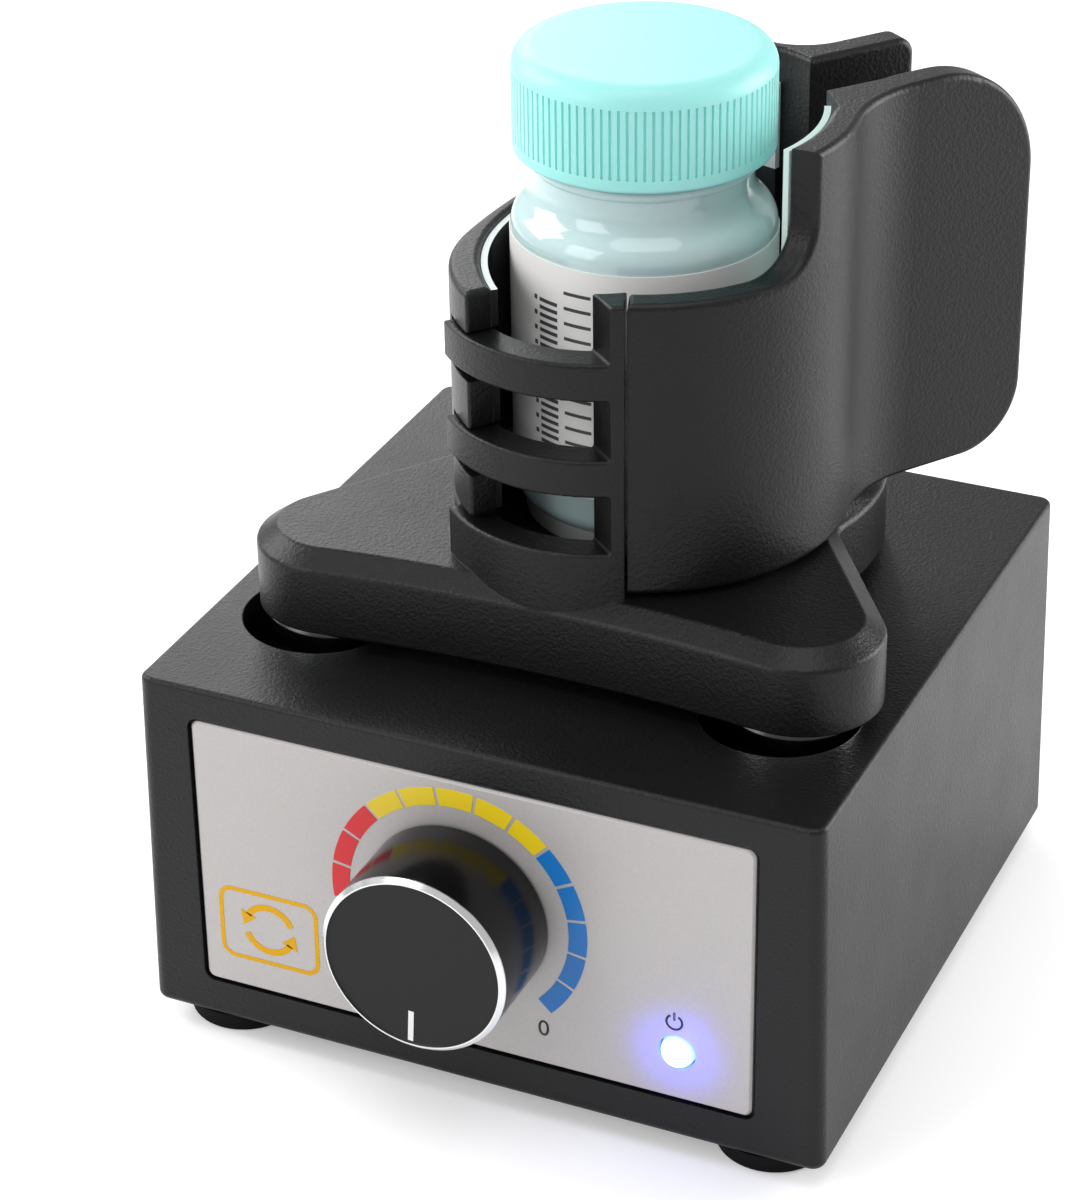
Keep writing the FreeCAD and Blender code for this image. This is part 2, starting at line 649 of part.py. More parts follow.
def make_motor_end_cap():
    cap = rod(MOTOR_R - 0.8, MOTOR_CAP_T, V(0, 0, MOTOR_TOP - MOTOR_L - MOTOR_CAP_T))
    tag_low = MOTOR_TOP - MOTOR_L - MOTOR_CAP_T - MOTOR_TAG_L
    tags = [block(2.4, 0.6, MOTOR_TAG_L, V(s * 6 - 1.2, -0.3, tag_low)) for s in (-1, 1)]
    return cap.fuse(tags)


def make_motor_plate():
    plate = rod(MOTOR_PLATE_R, MOTOR_PLATE_T, V(0, 0, MOTOR_TOP))
    holes = [rod(MOTOR_NOSE_R + SCREW_HOLE_CLEARANCE, MOTOR_PLATE_T, V(0, 0, MOTOR_TOP))]
    holes += [rod(PLATE_SCREW_R + SCREW_HOLE_CLEARANCE, MOTOR_PLATE_T, V(p.x, p.y, MOTOR_TOP))
              for p in standoff_places()]
    holes += [rod(PLATE_SCREW_R + SCREW_HOLE_CLEARANCE, MOTOR_PLATE_T, V(s * MOTOR_SCREW_CIRCLE_R, 0, MOTOR_TOP))
              for s in (-1, 1)]
    return plate.cut(holes)


def make_plate_screws():
    screws = []
    for p in standoff_places():
        top = V(p.x, p.y, MOTOR_TOP - 1.6)
        screws.append(make_screw(PLATE_SCREW_R, PLATE_SCREW_L, PLATE_SCREW_HEAD_R, 1.6, top, Z_AXIS))
    return Part.makeCompound(screws)


def hub_low_z():
    return MOTOR_TOP + HUB_LIFT


def make_motor_shaft():
    foot = V(0, 0, MOTOR_TOP - MOTOR_L + 4.2)
    return rod(MOTOR_SHAFT_R, hub_low_z() + HUB_H - 1.0 - foot.z, foot)


def make_eccentric_hub():
    low = hub_low_z()
    hub = rod(HUB_R, HUB_H, V(0, 0, low))
    bore = rod(MOTOR_SHAFT_R, HUB_H - 1.0, V(0, 0, low))
    seat = rod(PIN_R, HUB_H - 2.0, V(PLATFORM_SHIFT.x, PLATFORM_SHIFT.y, low + 2.0))
    grub = rod(1.25, HUB_R, V(0, 0, low + 1.6), V(-math.cos(PHASE), -math.sin(PHASE), 0))
    return hub.cut([bore, seat.cut(bore), grub])


def make_counterweight():
    low = hub_low_z() + HUB_H - WEIGHT_H - 1.0
    outline = [
        arc_edge(0, 0, WEIGHT_R, REST_PHASE_DEG + 105, REST_PHASE_DEG + 255),
        line_edge(polar(0, 0, WEIGHT_R, REST_PHASE_DEG + 255), polar(0, 0, HUB_R, REST_PHASE_DEG + 255)),
        arc_edge(0, 0, HUB_R, REST_PHASE_DEG + 255, REST_PHASE_DEG + 105),
        line_edge(polar(0, 0, HUB_R, REST_PHASE_DEG + 105), polar(0, 0, WEIGHT_R, REST_PHASE_DEG + 105)),
    ]
    return prism(outline, low, low + WEIGHT_H)


def make_grub_screw():
    low = hub_low_z() + 1.6
    direction = V(-math.cos(PHASE), -math.sin(PHASE), 0)
    return rod(1.25, HUB_R - MOTOR_SHAFT_R - 0.4, V(0, 0, low) + direction * MOTOR_SHAFT_R, direction)


def bearing_low_z():
    return PLATFORM_LOW + RETAINER_T


def make_eccentric_pin():
    low = hub_low_z() + 2.0
    hub_top = hub_low_z() + HUB_H
    place = PLATFORM_SHIFT
    pin = rod(PIN_R, bearing_low_z() + BEARING_W - low, place + V(0, 0, low))
    collar = rod(PIN_COLLAR_R, bearing_low_z() - hub_top, place + V(0, 0, hub_top))
    shaft_room = rod(MOTOR_SHAFT_R + 0.3, hub_top - low, V(0, 0, low))
    return pin.fuse(collar).cut(shaft_room)


def make_bearing_inner():
    return tube(PIN_R + BEARING_RING_T, PIN_R, BEARING_W, PLATFORM_SHIFT + V(0, 0, bearing_low_z()))


def make_bearing_outer():
    return tube(BEARING_R, BEARING_R - BEARING_RING_T, BEARING_W, V(0, 0, bearing_low_z()))


def make_bearing_balls():
    inner = PIN_R + BEARING_RING_T
    outer = BEARING_R - BEARING_RING_T
    ball_r = (outer - inner) / 2 - RUNNING_FIT
    middle_z = bearing_low_z() + BEARING_W / 2
    track_r = (inner + outer) / 2
    places = [polar(0, 0, track_r, 360 / BEARING_BALLS * i, middle_z) for i in range(BEARING_BALLS)]
    return Part.makeCompound([Part.makeSphere(ball_r, place) for place in places])


def make_bearing_retainer():
    return tube(RETAINER_R, BEARING_R - BEARING_RING_T, RETAINER_T, V(0, 0, PLATFORM_LOW))


def make_ball(place):
    return Part.makeSphere(BALL_R, place + BALL_SHIFT + V(0, 0, BALL_Z))


# Platform and cage, one moulding

def flank():
    """The straight right flank, which leaves the front lobe, and the small hollow between it and the rear arc."""
    along = polar(0, 0, 1, FLANK_DEG + 180)
    out = polar(0, 0, 1, FLANK_DEG + 90)
    lobe_end = V(POCKET_FRONT_X, POCKET_FRONT_Y, 0) + out * LOBE_R
    rear = V(0, REAR_ARC_Y, 0)
    start = lobe_end + out * FLANK_BLEND_R - rear
    half = start.dot(along)
    reach = REAR_ARC_R + FLANK_BLEND_R
    step = -half - math.sqrt(half ** 2 - start.Length ** 2 + reach ** 2)
    hollow = rear + start + along * step
    return lobe_end, lobe_end + along * step, hollow, rear + (hollow - rear) * (REAR_ARC_R / reach)


def mirrored(point):
    return V(-point.x, point.y, point.z)


def platform_outline():
    """Plan outline: two front lobes over the front balls, a slightly hollow front, one wide rear arc."""
    drop = POCKET_FRONT_Y - FRONT_WAIST_Y
    front_r = (POCKET_FRONT_X ** 2 + drop ** 2 - LOBE_R ** 2) / (2 * (LOBE_R - drop))
    front_c = V(0, FRONT_WAIST_Y - front_r, 0)
    lobe = V(POCKET_FRONT_X, POCKET_FRONT_Y, 0)
    rear = V(0, REAR_ARC_Y, 0)

    def on_arc(centre, radius, towards):
        return centre + towards * (radius / towards.Length)

    front_right = on_arc(lobe, LOBE_R, front_c - lobe)
    lobe_end, flank_end, hollow, rear_start = flank()
    lobe_middle = on_arc(lobe, LOBE_R, (front_right - lobe) + (lobe_end - lobe))
    hollow_middle = on_arc(hollow, FLANK_BLEND_R, (flank_end - hollow) + (rear_start - hollow))
    right = [
        Part.Arc(front_right, lobe_middle, lobe_end).toShape(),
        line_edge(lobe_end, flank_end),
        Part.Arc(flank_end, hollow_middle, rear_start).toShape(),
    ]
    left = [
        Part.Arc(mirrored(rear_start), mirrored(hollow_middle), mirrored(flank_end)).toShape(),
        line_edge(mirrored(flank_end), mirrored(lobe_end)),
        Part.Arc(mirrored(lobe_end), mirrored(lobe_middle), mirrored(front_right)).toShape(),
    ]
    back = Part.Arc(rear_start, on_arc(rear, REAR_ARC_R, Y_AXIS), mirrored(rear_start)).toShape()
    front = Part.Arc(mirrored(front_right), V(0, FRONT_WAIST_Y, 0), front_right).toShape()
    return [front] + right + [back] + left


def wall_face(face):
    """Where a face's side arc and back arc have their centres, and the angle at which they meet."""
    side_x = face["x"] - face["front_r"] + face["side_r"]
    rise = WALL_SIDE_END_Y - face["y"]
    join_deg = 180 - math.degrees(math.asin(rise / face["side_r"]))
    join = polar(side_x, face["y"], face["side_r"], join_deg)
    return side_x, join_deg, join - polar(0, 0, face["back_r"], join_deg)


def wall_edges(face, inset, front_deg, back_deg):
    """A wall face's arcs, moved inwards by inset, from its front angle round the left side to the back."""
    side_x, join_deg, back = wall_face(face)
    front_r = face["front_r"] - inset
    back_r = face["back_r"] - inset
    edges = [
        arc_edge(face["x"], face["y"], front_r, front_deg, 180),
        arc_edge(side_x, face["y"], face["side_r"] - inset, 180, join_deg),
        arc_edge(back.x, back.y, back_r, join_deg, back_deg),
    ]
    ends = (polar(face["x"], face["y"], front_r, front_deg), polar(back.x, back.y, back_r, back_deg))
    return edges, ends


def seam_line(gap_side):
    """The straight joint between the front post and the right jaw, moved aside by half the gap."""
    away = polar(0, 0, 1, SEAM_DEG + 90) * (gap_side * SEAM_GAP / 2)
    outer = polar(JAW_X, JAW_Y, JAW_R, SEAM_DEG) + away
    inner = polar(JAW_X, JAW_Y, JAW_R - JAW_WALL, SEAM_DEG) + away
    return outer, inner


def make_cage_ring(outer_start, inner_start, low_z, high_z):
    """A piece of the cage's front ring; its left end may be slanted by two different angles."""
    end = RING_END_DEG
    inner_r = CAGE_R - CAGE_WALL
    outline = [
        arc_edge(CAGE_X, CAGE_Y, CAGE_R, outer_start, end),
        line_edge(polar(CAGE_X, CAGE_Y, CAGE_R, end), polar(CAGE_X, CAGE_Y, inner_r, end)),
        arc_edge(CAGE_X, CAGE_Y, inner_r, end, inner_start),
        line_edge(polar(CAGE_X, CAGE_Y, inner_r, inner_start), polar(CAGE_X, CAGE_Y, CAGE_R, outer_start)),
    ]
    return prism(outline, low_z, high_z)


def seam_cutter():
    """Everything to the right of the seam."""
    outer, inner = seam_line(-1)
    direction = polar(0, 0, 1, SEAM_DEG)
    across = polar(0, 0, 1, SEAM_DEG + 90)
    start = outer + direction * CAGE_R
    end = inner - direction * CAGE_WALL
    points = [start, end, end + across * CAGE_R, start + across * CAGE_R, start]
    return Part.Face(Part.makePolygon(points)).extrude(V(0, 0, POST_TOP_Z + 1))


def make_platform():
    body = prism(platform_outline(), PLATFORM_LOW, PLATFORM_TOP)
    top_edges = edges_where(body, lambda e: level(e, PLATFORM_TOP))
    body = body.makeChamfer(PLATFORM_BEVEL_DOWN, PLATFORM_BEVEL_OUT, top_edges)
    low_edges = edges_where(body, lambda e: level(e, PLATFORM_LOW))
    body = body.makeChamfer(PLATFORM_FOOT_BEVEL, low_edges)
    for z in (PLATFORM_TOP, PLATFORM_TOP - PLATFORM_BEVEL_DOWN):
        body = body.makeFillet(PLATFORM_EDGE_R, edges_where(body, lambda e: level(e, z)))

    ring_low = PLATFORM_LOW + PLATFORM_FOOT_BEVEL
    ring_deg = BAR_END_DEG - 360
    front = make_cage_ring(ring_deg, ring_deg, ring_low, PLATFORM_TOP + BASE_WALL_H)
    bars = [make_cage_ring(ring_deg, ring_deg, z, z + BAR_H) for z in (BAR_HIGH_Z, BAR_LOW_Z)]
    post = make_cage_ring(POST_OUTER_DEG, POST_INNER_DEG, ring_low, POST_TOP_Z)
    outer_edges, outer_ends = wall_edges(OUTER_FACE, 0, LEFT_TIP_OUTER_DEG, CAGE_BACK_END_DEG)
    inner_edges, inner_ends = wall_edges(INNER_FACE, 0, LEFT_TIP_INNER_DEG, CAGE_BACK_END_DEG)
    wall = prism(outer_edges + [line_edge(outer_ends[1], inner_ends[1])] + inner_edges[::-1]
                 + [line_edge(inner_ends[0], outer_ends[0])], PLATFORM_TOP - 1.0, PLATFORM_TOP + BASE_WALL_H)
    cage = front.fuse(bars + [post, wall]).cut(seam_cutter())
    body = body.fuse(cage)

    removed = [rod(POCKET_R, POCKET_DEPTH + 1, place + V(0, 0, PLATFORM_LOW - 1)) for name, place in POCKETS]
    removed.append(rod(BEARING_R, BEARING_W + RETAINER_T, V(0, 0, PLATFORM_LOW)))
    removed.append(rod(RETAINER_R, RETAINER_T, V(0, 0, PLATFORM_LOW)))
    removed.append(rod(PIVOT_R, PLATFORM_T - PIVOT_FLOOR, V(PIVOT_X, PIVOT_Y, PLATFORM_LOW + PIVOT_FLOOR)))
    body = body.cut(removed).removeSplitter()
    wall_top = PLATFORM_TOP + BASE_WALL_H
    for z in (wall_top, BAR_LOW_Z, BAR_LOW_Z + BAR_H, BAR_HIGH_Z, BAR_HIGH_Z + BAR_H, POST_TOP_Z):
        body = body.makeFillet(BAR_EDGE_R, edges_where(body, lambda e: level(e, z)))
    side = outer_edges[1].BoundBox.Center + V(0, 0, PLATFORM_TOP)
    return body.makeFillet(CAGE_FOOT_R, edges_where(body, lambda e: (e.BoundBox.Center - side).Length < 0.1))


def make_mat():
    return rod(MAT_R, MAT_T, V(BOTTLE_X, BOTTLE_Y, PLATFORM_TOP))


# Jaws

def scoop(low_z, keep_from, along_x):
    """The cut that lowers a jaw's rim; its inner corner is round."""
    reach = SCOOP_REACH
    height = JAW_TOP_Z + 1 - low_z
    if along_x:
        cut = block(reach, 2 * reach, height, V(keep_from - reach, -reach, low_z))
        corner = edges_where(cut, lambda e: level(e, low_z) and abs(e.BoundBox.XMax - keep_from) < 1e-3
                             and e.BoundBox.XLength < 1e-3)
    else:
        cut = block(2 * reach, reach, height, V(-reach, keep_from - reach, low_z))
        corner = edges_where(cut, lambda e: level(e, low_z) and abs(e.BoundBox.YMax - keep_from) < 1e-3
                             and e.BoundBox.YLength < 1e-3)
    return cut.makeFillet(SCOOP_R, corner)


def round_wing_end(shape, end, low_z, top_r, low_r):
    """Round the wing's two free corners, at its upright end edges."""
    def near_end(e, z):
        box = e.BoundBox
        middle = V((box.XMin + box.XMax) / 2, (box.YMin + box.YMax) / 2, 0)
        return level(e, z) and (middle - end).Length < 1.0
    shape = shape.makeFillet(top_r, edges_where(shape, lambda e: near_end(e, JAW_TOP_Z)))
    return shape.makeFillet(low_r, edges_where(shape, lambda e: near_end(e, low_z)))


def knuckle(low_z, high_z, web_points):
    """A pivot knuckle with the web that joins it to its jaw."""
    web = Part.Face(Part.makePolygon(web_points + [web_points[0]])).extrude(V(0, 0, high_z - low_z))
    web.translate(V(0, 0, low_z))
    return rod(KNUCKLE_R, high_z - low_z, V(PIVOT_X, PIVOT_Y, low_z)).fuse(web)


def pivot_levels():
    """Heights along the pivot pin: right knuckle, left knuckle, spring, left knuckle, right knuckle."""
    start = PLATFORM_TOP + JAW_LIFT
    return [start, start + 9, start + 17, start + 26, start + 32, start + 38]


def make_right_jaw():
    low_z = PLATFORM_TOP + JAW_LIFT
    direction = polar(0, 0, 1, WING_DIRECTION_DEG)
    outward = polar(0, 0, 1, WING_DIRECTION_DEG - 90)
    centre = V(JAW_X, JAW_Y, 0)
    pass_point = V(WING_PASS_X, WING_PASS_Y, 0)
    base = pass_point + outward * WING_CURVE_R - centre
    half = base.dot(direction)
    reach = JAW_R + WING_CURVE_R
    back_along = -half + math.sqrt(half ** 2 - base.Length ** 2 + reach ** 2)
    curve = centre + base + direction * back_along
    to_curve = curve - centre
    join_deg = math.degrees(math.atan2(to_curve.y, to_curve.x))
    leave_deg = WING_DIRECTION_DEG + 90
    seam_outer, seam_inner = seam_line(1)
    start_deg = SEAM_DEG + math.degrees(SEAM_GAP / 2 / JAW_R)
    tip_outer = pass_point + direction * WING_REACH
    tip_inner = tip_outer - outward * WING_TIP_T
    inner_r = JAW_R - JAW_WALL
    outline = [
        arc_edge(JAW_X, JAW_Y, JAW_R, start_deg, join_deg),
        arc_edge(curve.x, curve.y, WING_CURVE_R, join_deg + 180, leave_deg),
        line_edge(polar(curve.x, curve.y, WING_CURVE_R, leave_deg), tip_outer),
        line_edge(tip_outer, tip_inner),
        line_edge(tip_inner, polar(curve.x, curve.y, WING_CURVE_R + JAW_WALL, leave_deg)),
        arc_edge(curve.x, curve.y, WING_CURVE_R + JAW_WALL, leave_deg, join_deg + 180),
        arc_edge(JAW_X, JAW_Y, inner_r, join_deg, start_deg),
        line_edge(polar(JAW_X, JAW_Y, inner_r, start_deg), polar(JAW_X, JAW_Y, JAW_R, start_deg)),
    ]
    jaw = prism(outline, low_z, JAW_TOP_Z)
    root = [polar(JAW_X, JAW_Y, inner_r + 0.5, 22), V(23.4, 11.0, 0), V(27.0, 15.5, 0),
            polar(curve.x, curve.y, WING_CURVE_R + JAW_WALL - 0.5, leave_deg - 2),
            polar(curve.x, curve.y, WING_CURVE_R + JAW_WALL / 2, leave_deg + 20),
            polar(JAW_X, JAW_Y, inner_r + JAW_WALL / 2, join_deg)]
    thick = Part.Face(Part.makePolygon(root + [root[0]])).extrude(V(0, 0, JAW_TOP_Z - low_z))
    thick.translate(V(0, 0, low_z))
    jaw = jaw.fuse(thick)
    jaw = jaw.cut(scoop(RIGHT_RIM_Z, SCOOP_Y, False))
    end = (tip_outer + tip_inner) * 0.5
    jaw = round_wing_end(jaw, end, low_z, WING_TOP_R, WING_LOW_R)
    z = pivot_levels()
    web = [V(PIVOT_X + 0.5, PIVOT_Y - KNUCKLE_R + 0.6, 0), V(23.8, 10.6, 0), V(27.3, 15.6, 0),
           V(PIVOT_X + KNUCKLE_R - 0.6, PIVOT_Y + 1.0, 0)]
    knuckles = [knuckle(z[0], z[1] - KNUCKLE_GAP, web), knuckle(z[4] + KNUCKLE_GAP, z[5], web)]
    jaw = jaw.fuse(knuckles)
    jaw = jaw.cut(rod(PIVOT_R + RUNNING_FIT, JAW_TOP_Z, V(PIVOT_X, PIVOT_Y, 0))).removeSplitter()
    long_edge = (WING_CURVE_R + JAW_WALL) / 2
    return jaw.makeFillet(RIM_EDGE_R, edges_where(jaw, lambda e: level(e, RIGHT_RIM_Z)
                                                  or level(e, JAW_TOP_Z) and e.Length > long_edge))


def left_jaw_low():
    return PLATFORM_TOP + BASE_WALL_H + 0.5


def comb_slots():
    """The room between the left jaw's fingers, where the cage's bars lie."""
    start = COMB_END_DEG
    end = FINGER_ROOT_DEG
    outer_r = CAGE_R + COMB_OVERSIZE
    inner_r = CAGE_R - CAGE_WALL - COMB_OVERSIZE
    outline = [
        arc_edge(CAGE_X, CAGE_Y, outer_r, start, end),
        line_edge(polar(CAGE_X, CAGE_Y, outer_r, end), polar(CAGE_X, CAGE_Y, inner_r, end)),
        arc_edge(CAGE_X, CAGE_Y, inner_r, end, start),
        line_edge(polar(CAGE_X, CAGE_Y, inner_r, start), polar(CAGE_X, CAGE_Y, outer_r, start)),
    ]
    below = BAR_LOW_Z - left_jaw_low() - FINGER_H
    return [prism(outline, z - below, z + BAR_H + FINGER_CLEAR) for z in (BAR_LOW_Z, BAR_HIGH_Z)]


def left_wing():
    """The left wing's direction, the direction of its outer face, and a point on its inner face."""
    direction = polar(0, 0, 1, LEFT_WING_DIRECTION_DEG)
    outward = polar(0, 0, 1, LEFT_WING_DIRECTION_DEG + 90)
    return direction, outward, V(LEFT_WING_PASS_X, LEFT_WING_PASS_Y, 0) - outward * LEFT_WING_T


def make_left_jaw():
    low_z = left_jaw_low()
    side_x, join_deg, back = wall_face(OUTER_FACE)
    back_r = OUTER_FACE["back_r"]
    direction, outward, inner_point = left_wing()
    outer_point = inner_point + outward * LEFT_WING_T
    base = outer_point + outward * LEFT_WING_CURVE_R - back
    half = base.dot(direction)
    reach = back_r + LEFT_WING_CURVE_R
    curve = back + base + direction * (-half + math.sqrt(half ** 2 - base.Length ** 2 + reach ** 2))
    to_curve = curve - back
    leave_deg = math.degrees(math.atan2(to_curve.y, to_curve.x))
    line_deg = LEFT_WING_DIRECTION_DEG - 90
    tip_outer = outer_point + direction * LEFT_WING_REACH
    tip_inner = tip_outer - outward * LEFT_WING_T
    inner_x, inner_deg, inner_back = wall_face(INNER_FACE)
    inner_r = INNER_FACE["back_r"]
    aside = inner_point - inner_back
    half = aside.dot(direction)
    root = inner_point - direction * (half - math.sqrt(half ** 2 - aside.Length ** 2 + inner_r ** 2))
    root_deg = math.degrees(math.atan2(root.y - inner_back.y, root.x - inner_back.x))
    outer_edges, outer_ends = wall_edges(OUTER_FACE, 0, LEFT_TIP_OUTER_DEG, leave_deg)
    inner_edges, inner_ends = wall_edges(INNER_FACE, 0, LEFT_TIP_INNER_DEG, root_deg)
    outline = outer_edges + [
        arc_edge(curve.x, curve.y, LEFT_WING_CURVE_R, leave_deg - 180, line_deg),
        line_edge(polar(curve.x, curve.y, LEFT_WING_CURVE_R, line_deg), tip_outer),
        line_edge(tip_outer, tip_inner),
        line_edge(tip_inner, inner_ends[1]),
    ] + inner_edges[::-1] + [line_edge(inner_ends[0], outer_ends[0])]
    jaw = prism(outline, low_z, JAW_TOP_Z)
    jaw = jaw.cut(scoop(LEFT_RIM_Z, SCOOP_X, True))
    end = (tip_outer + tip_inner) * 0.5
    jaw = round_wing_end(jaw, end, low_z, LEFT_WING_TOP_R, WING_LOW_R)
    jaw = jaw.cut(comb_slots())
    pivot = V(PIVOT_X, PIVOT_Y, 0)
    to_wing = outward * ((inner_point - pivot).dot(outward) + 1.0)
    side = direction * (KNUCKLE_WEB_W / 2)
    web = [pivot - side, pivot + side, pivot + side + to_wing, pivot - side + to_wing]
    z = pivot_levels()
    knuckles = [knuckle(z[1] + KNUCKLE_GAP, z[2], web), knuckle(z[3], z[4] - KNUCKLE_GAP, web)]
    jaw = jaw.fuse(knuckles)
    jaw = jaw.cut(rod(PIVOT_R + RUNNING_FIT, JAW_TOP_Z, V(PIVOT_X, PIVOT_Y, 0))).removeSplitter()
    tips = (outer_ends[0], inner_ends[0])
    jaw = jaw.makeFillet(TIP_EDGE_R, edges_where(jaw, lambda e: at_upright(e, tips)))
    return jaw.makeFillet(RIM_EDGE_R, edges_where(jaw, lambda e: level(e, LEFT_RIM_Z) or level(e, JAW_TOP_Z)))


def make_right_liner():
    outer_r = JAW_R - JAW_WALL - LINER_SEAT
    inner_r = outer_r - LINER_T
    start = math.degrees(math.asin((SCOOP_Y + 0.4 - JAW_Y) / outer_r))
    end = RIGHT_LINER_END_DEG
    outline = [
        arc_edge(JAW_X, JAW_Y, outer_r, start, end),
        line_edge(polar(JAW_X, JAW_Y, outer_r, end), polar(JAW_X, JAW_Y, inner_r, end)),
        arc_edge(JAW_X, JAW_Y, inner_r, end, start),
        line_edge(polar(JAW_X, JAW_Y, inner_r, start), polar(JAW_X, JAW_Y, outer_r, start)),
    ]
    return prism(outline, PLATFORM_TOP + JAW_LIFT + LINER_MARGIN, JAW_TOP_Z - LINER_MARGIN)


def make_left_liner():
    """The lining of the left jaw: low behind the fingers, higher at the back, where the jaw rises."""
    outer_edges, outer_ends = wall_edges(INNER_FACE, LINER_SEAT, LEFT_LINER_START_DEG, LEFT_LINER_END_DEG)
    inner_edges, inner_ends = wall_edges(INNER_FACE, LINER_SEAT + LINER_T, LEFT_LINER_START_DEG, LEFT_LINER_END_DEG)
    outline = outer_edges + [line_edge(outer_ends[1], inner_ends[1])] + inner_edges[::-1]
    outline += [line_edge(inner_ends[0], outer_ends[0])]
    liner = prism(outline, left_jaw_low() + LINER_MARGIN, PLATFORM_TOP + LEFT_LINER_RISE)
    return liner.cut([scoop(LEFT_RIM_Z - LINER_MARGIN, SCOOP_X + LINER_MARGIN, True)] + comb_slots())


def make_pivot_pin():
    z = pivot_levels()
    foot = V(PIVOT_X, PIVOT_Y, PLATFORM_LOW + 3.2)
    pin = rod(PIVOT_R, z[5] + 0.3 - foot.z, foot)
    head = rod(PIVOT_HEAD_R, PIVOT_HEAD_H, V(PIVOT_X, PIVOT_Y, z[5] + 0.3))
    return pin.fuse(head)


def make_clamp_spring():
    """Coils as a stack of rings, with two legs that press the wings apart."""
    z = pivot_levels()
    room = z[3] - z[2] - 1.0
    pitch = room / SPRING_TURNS
    coils = []
    for i in range(SPRING_TURNS):
        centre = V(PIVOT_X, PIVOT_Y, z[2] + 0.5 + pitch * (i + 0.5))
        coils.append(Part.makeTorus(SPRING_COIL_R, SPRING_WIRE_R, centre))
    return Part.makeCompound(coils)


# Knob: everything that turns with it

def make_pot_shaft():
    far = FRONT_Y - POT_SHAFT_REACH
    length = POT_SHAFT_REACH + HOUSING_WALL + POT_BODY_L * 0.5 - 0.3
    return rod(POT_SHAFT_R, length, V(DIAL_X, far, DIAL_HEIGHT), Y_AXIS)


def knob_back_y():
    return FRONT_Y - KNOB_GAP


def pointer_blank():
    """The pointer line, drawn straight down and then turned about the knob's axis."""
    low_z = DIAL_HEIGHT - KNOB_R + KNOB_RIM_W + KNOB_POINTER_T
    line = block(KNOB_POINTER_W, KNOB_POINTER_T, KNOB_POINTER_L,
                 V(DIAL_X - KNOB_POINTER_W / 2, KNOB_FRONT_Y + KNOB_FACE_SINK, low_z))
    line.rotate(V(DIAL_X, 0, DIAL_HEIGHT), Y_AXIS, KNOB_POINTER_DEG)
    return line


def make_knob_body():
    back = V(DIAL_X, knob_back_y(), DIAL_HEIGHT)
    body = rod(KNOB_R, KNOB_L, back, -Y_AXIS)
    rim = tube(KNOB_R + 1, KNOB_R - KNOB_RIM_W, KNOB_RIM_W, back - Y_AXIS * (KNOB_L - KNOB_RIM_W), -Y_AXIS)
    sink = rod(KNOB_R - KNOB_RIM_W, KNOB_FACE_SINK, back - Y_AXIS * (KNOB_L - KNOB_FACE_SINK), -Y_AXIS)
    cavity = rod(KNOB_CAVITY_R, KNOB_CAVITY_DEPTH, back, -Y_AXIS)
    bore = rod(POT_SHAFT_R, POT_SHAFT_REACH - KNOB_GAP, back, -Y_AXIS)
    return body.cut([rim, sink, cavity, bore, pointer_blank()])


def make_knob_rim():
    front = V(DIAL_X, KNOB_FRONT_Y, DIAL_HEIGHT)
    ring = tube(KNOB_R, KNOB_R - KNOB_RIM_W, KNOB_RIM_W, front, Y_AXIS)
    outer = [e for e in ring.Edges if e.BoundBox.YMax < KNOB_FRONT_Y + 1e-3 and e.BoundBox.XLength > 2 * KNOB_R - 0.1]
    return ring.makeChamfer(KNOB_RIM_W * 0.75, outer)


def make_knob_pointer():
    return pointer_blank()


# Bottle

def bottle_low():
    return PLATFORM_TOP + MAT_T + REST_GAP


def turned(edges):
    """A solid turned about the bottle's upright axis; the edges lie in the plane y = 0 and start on the axis."""
    solid = Part.Face(Part.Wire(edges)).revolve(V(0, 0, 0), Z_AXIS, 360)
    solid.translate(V(BOTTLE_X, BOTTLE_Y, 0))
    return solid


def bottle_profile(inset, low_z, high_z):
    """Half the bottle's outline, moved inwards by inset: floor, body, a shoulder of two arcs, neck."""
    shoulder_z = bottle_low() + BOTTLE_BODY_H
    body_r = BOTTLE_R - inset
    neck_r = BOTTLE_NECK_R - inset
    half_in = (body_r - neck_r) / 2
    half_up = BOTTLE_SHOULDER_H / 2
    bend_r = (half_in ** 2 + half_up ** 2) / (2 * half_in)
    turn = math.asin(half_up / bend_r) / 2
    middle = V(body_r - half_in, 0, shoulder_z + half_up)
    lower = V(body_r - bend_r + bend_r * math.cos(turn), 0, shoulder_z + bend_r * math.sin(turn))
    upper = middle * 2 - lower
    corners = [V(0, 0, low_z), V(body_r, 0, low_z), V(body_r, 0, shoulder_z)]
    neck = [V(neck_r, 0, shoulder_z + BOTTLE_SHOULDER_H), V(neck_r, 0, high_z), V(0, 0, high_z)]
    return [
        line_edge(corners[0], corners[1]),
        line_edge(corners[1], corners[2]),
        Part.Arc(corners[2], lower, middle).toShape(),
        Part.Arc(middle, upper, neck[0]).toShape(),
        line_edge(neck[0], neck[1]),
        line_edge(neck[1], neck[2]),
        line_edge(neck[2], corners[0]),
    ]


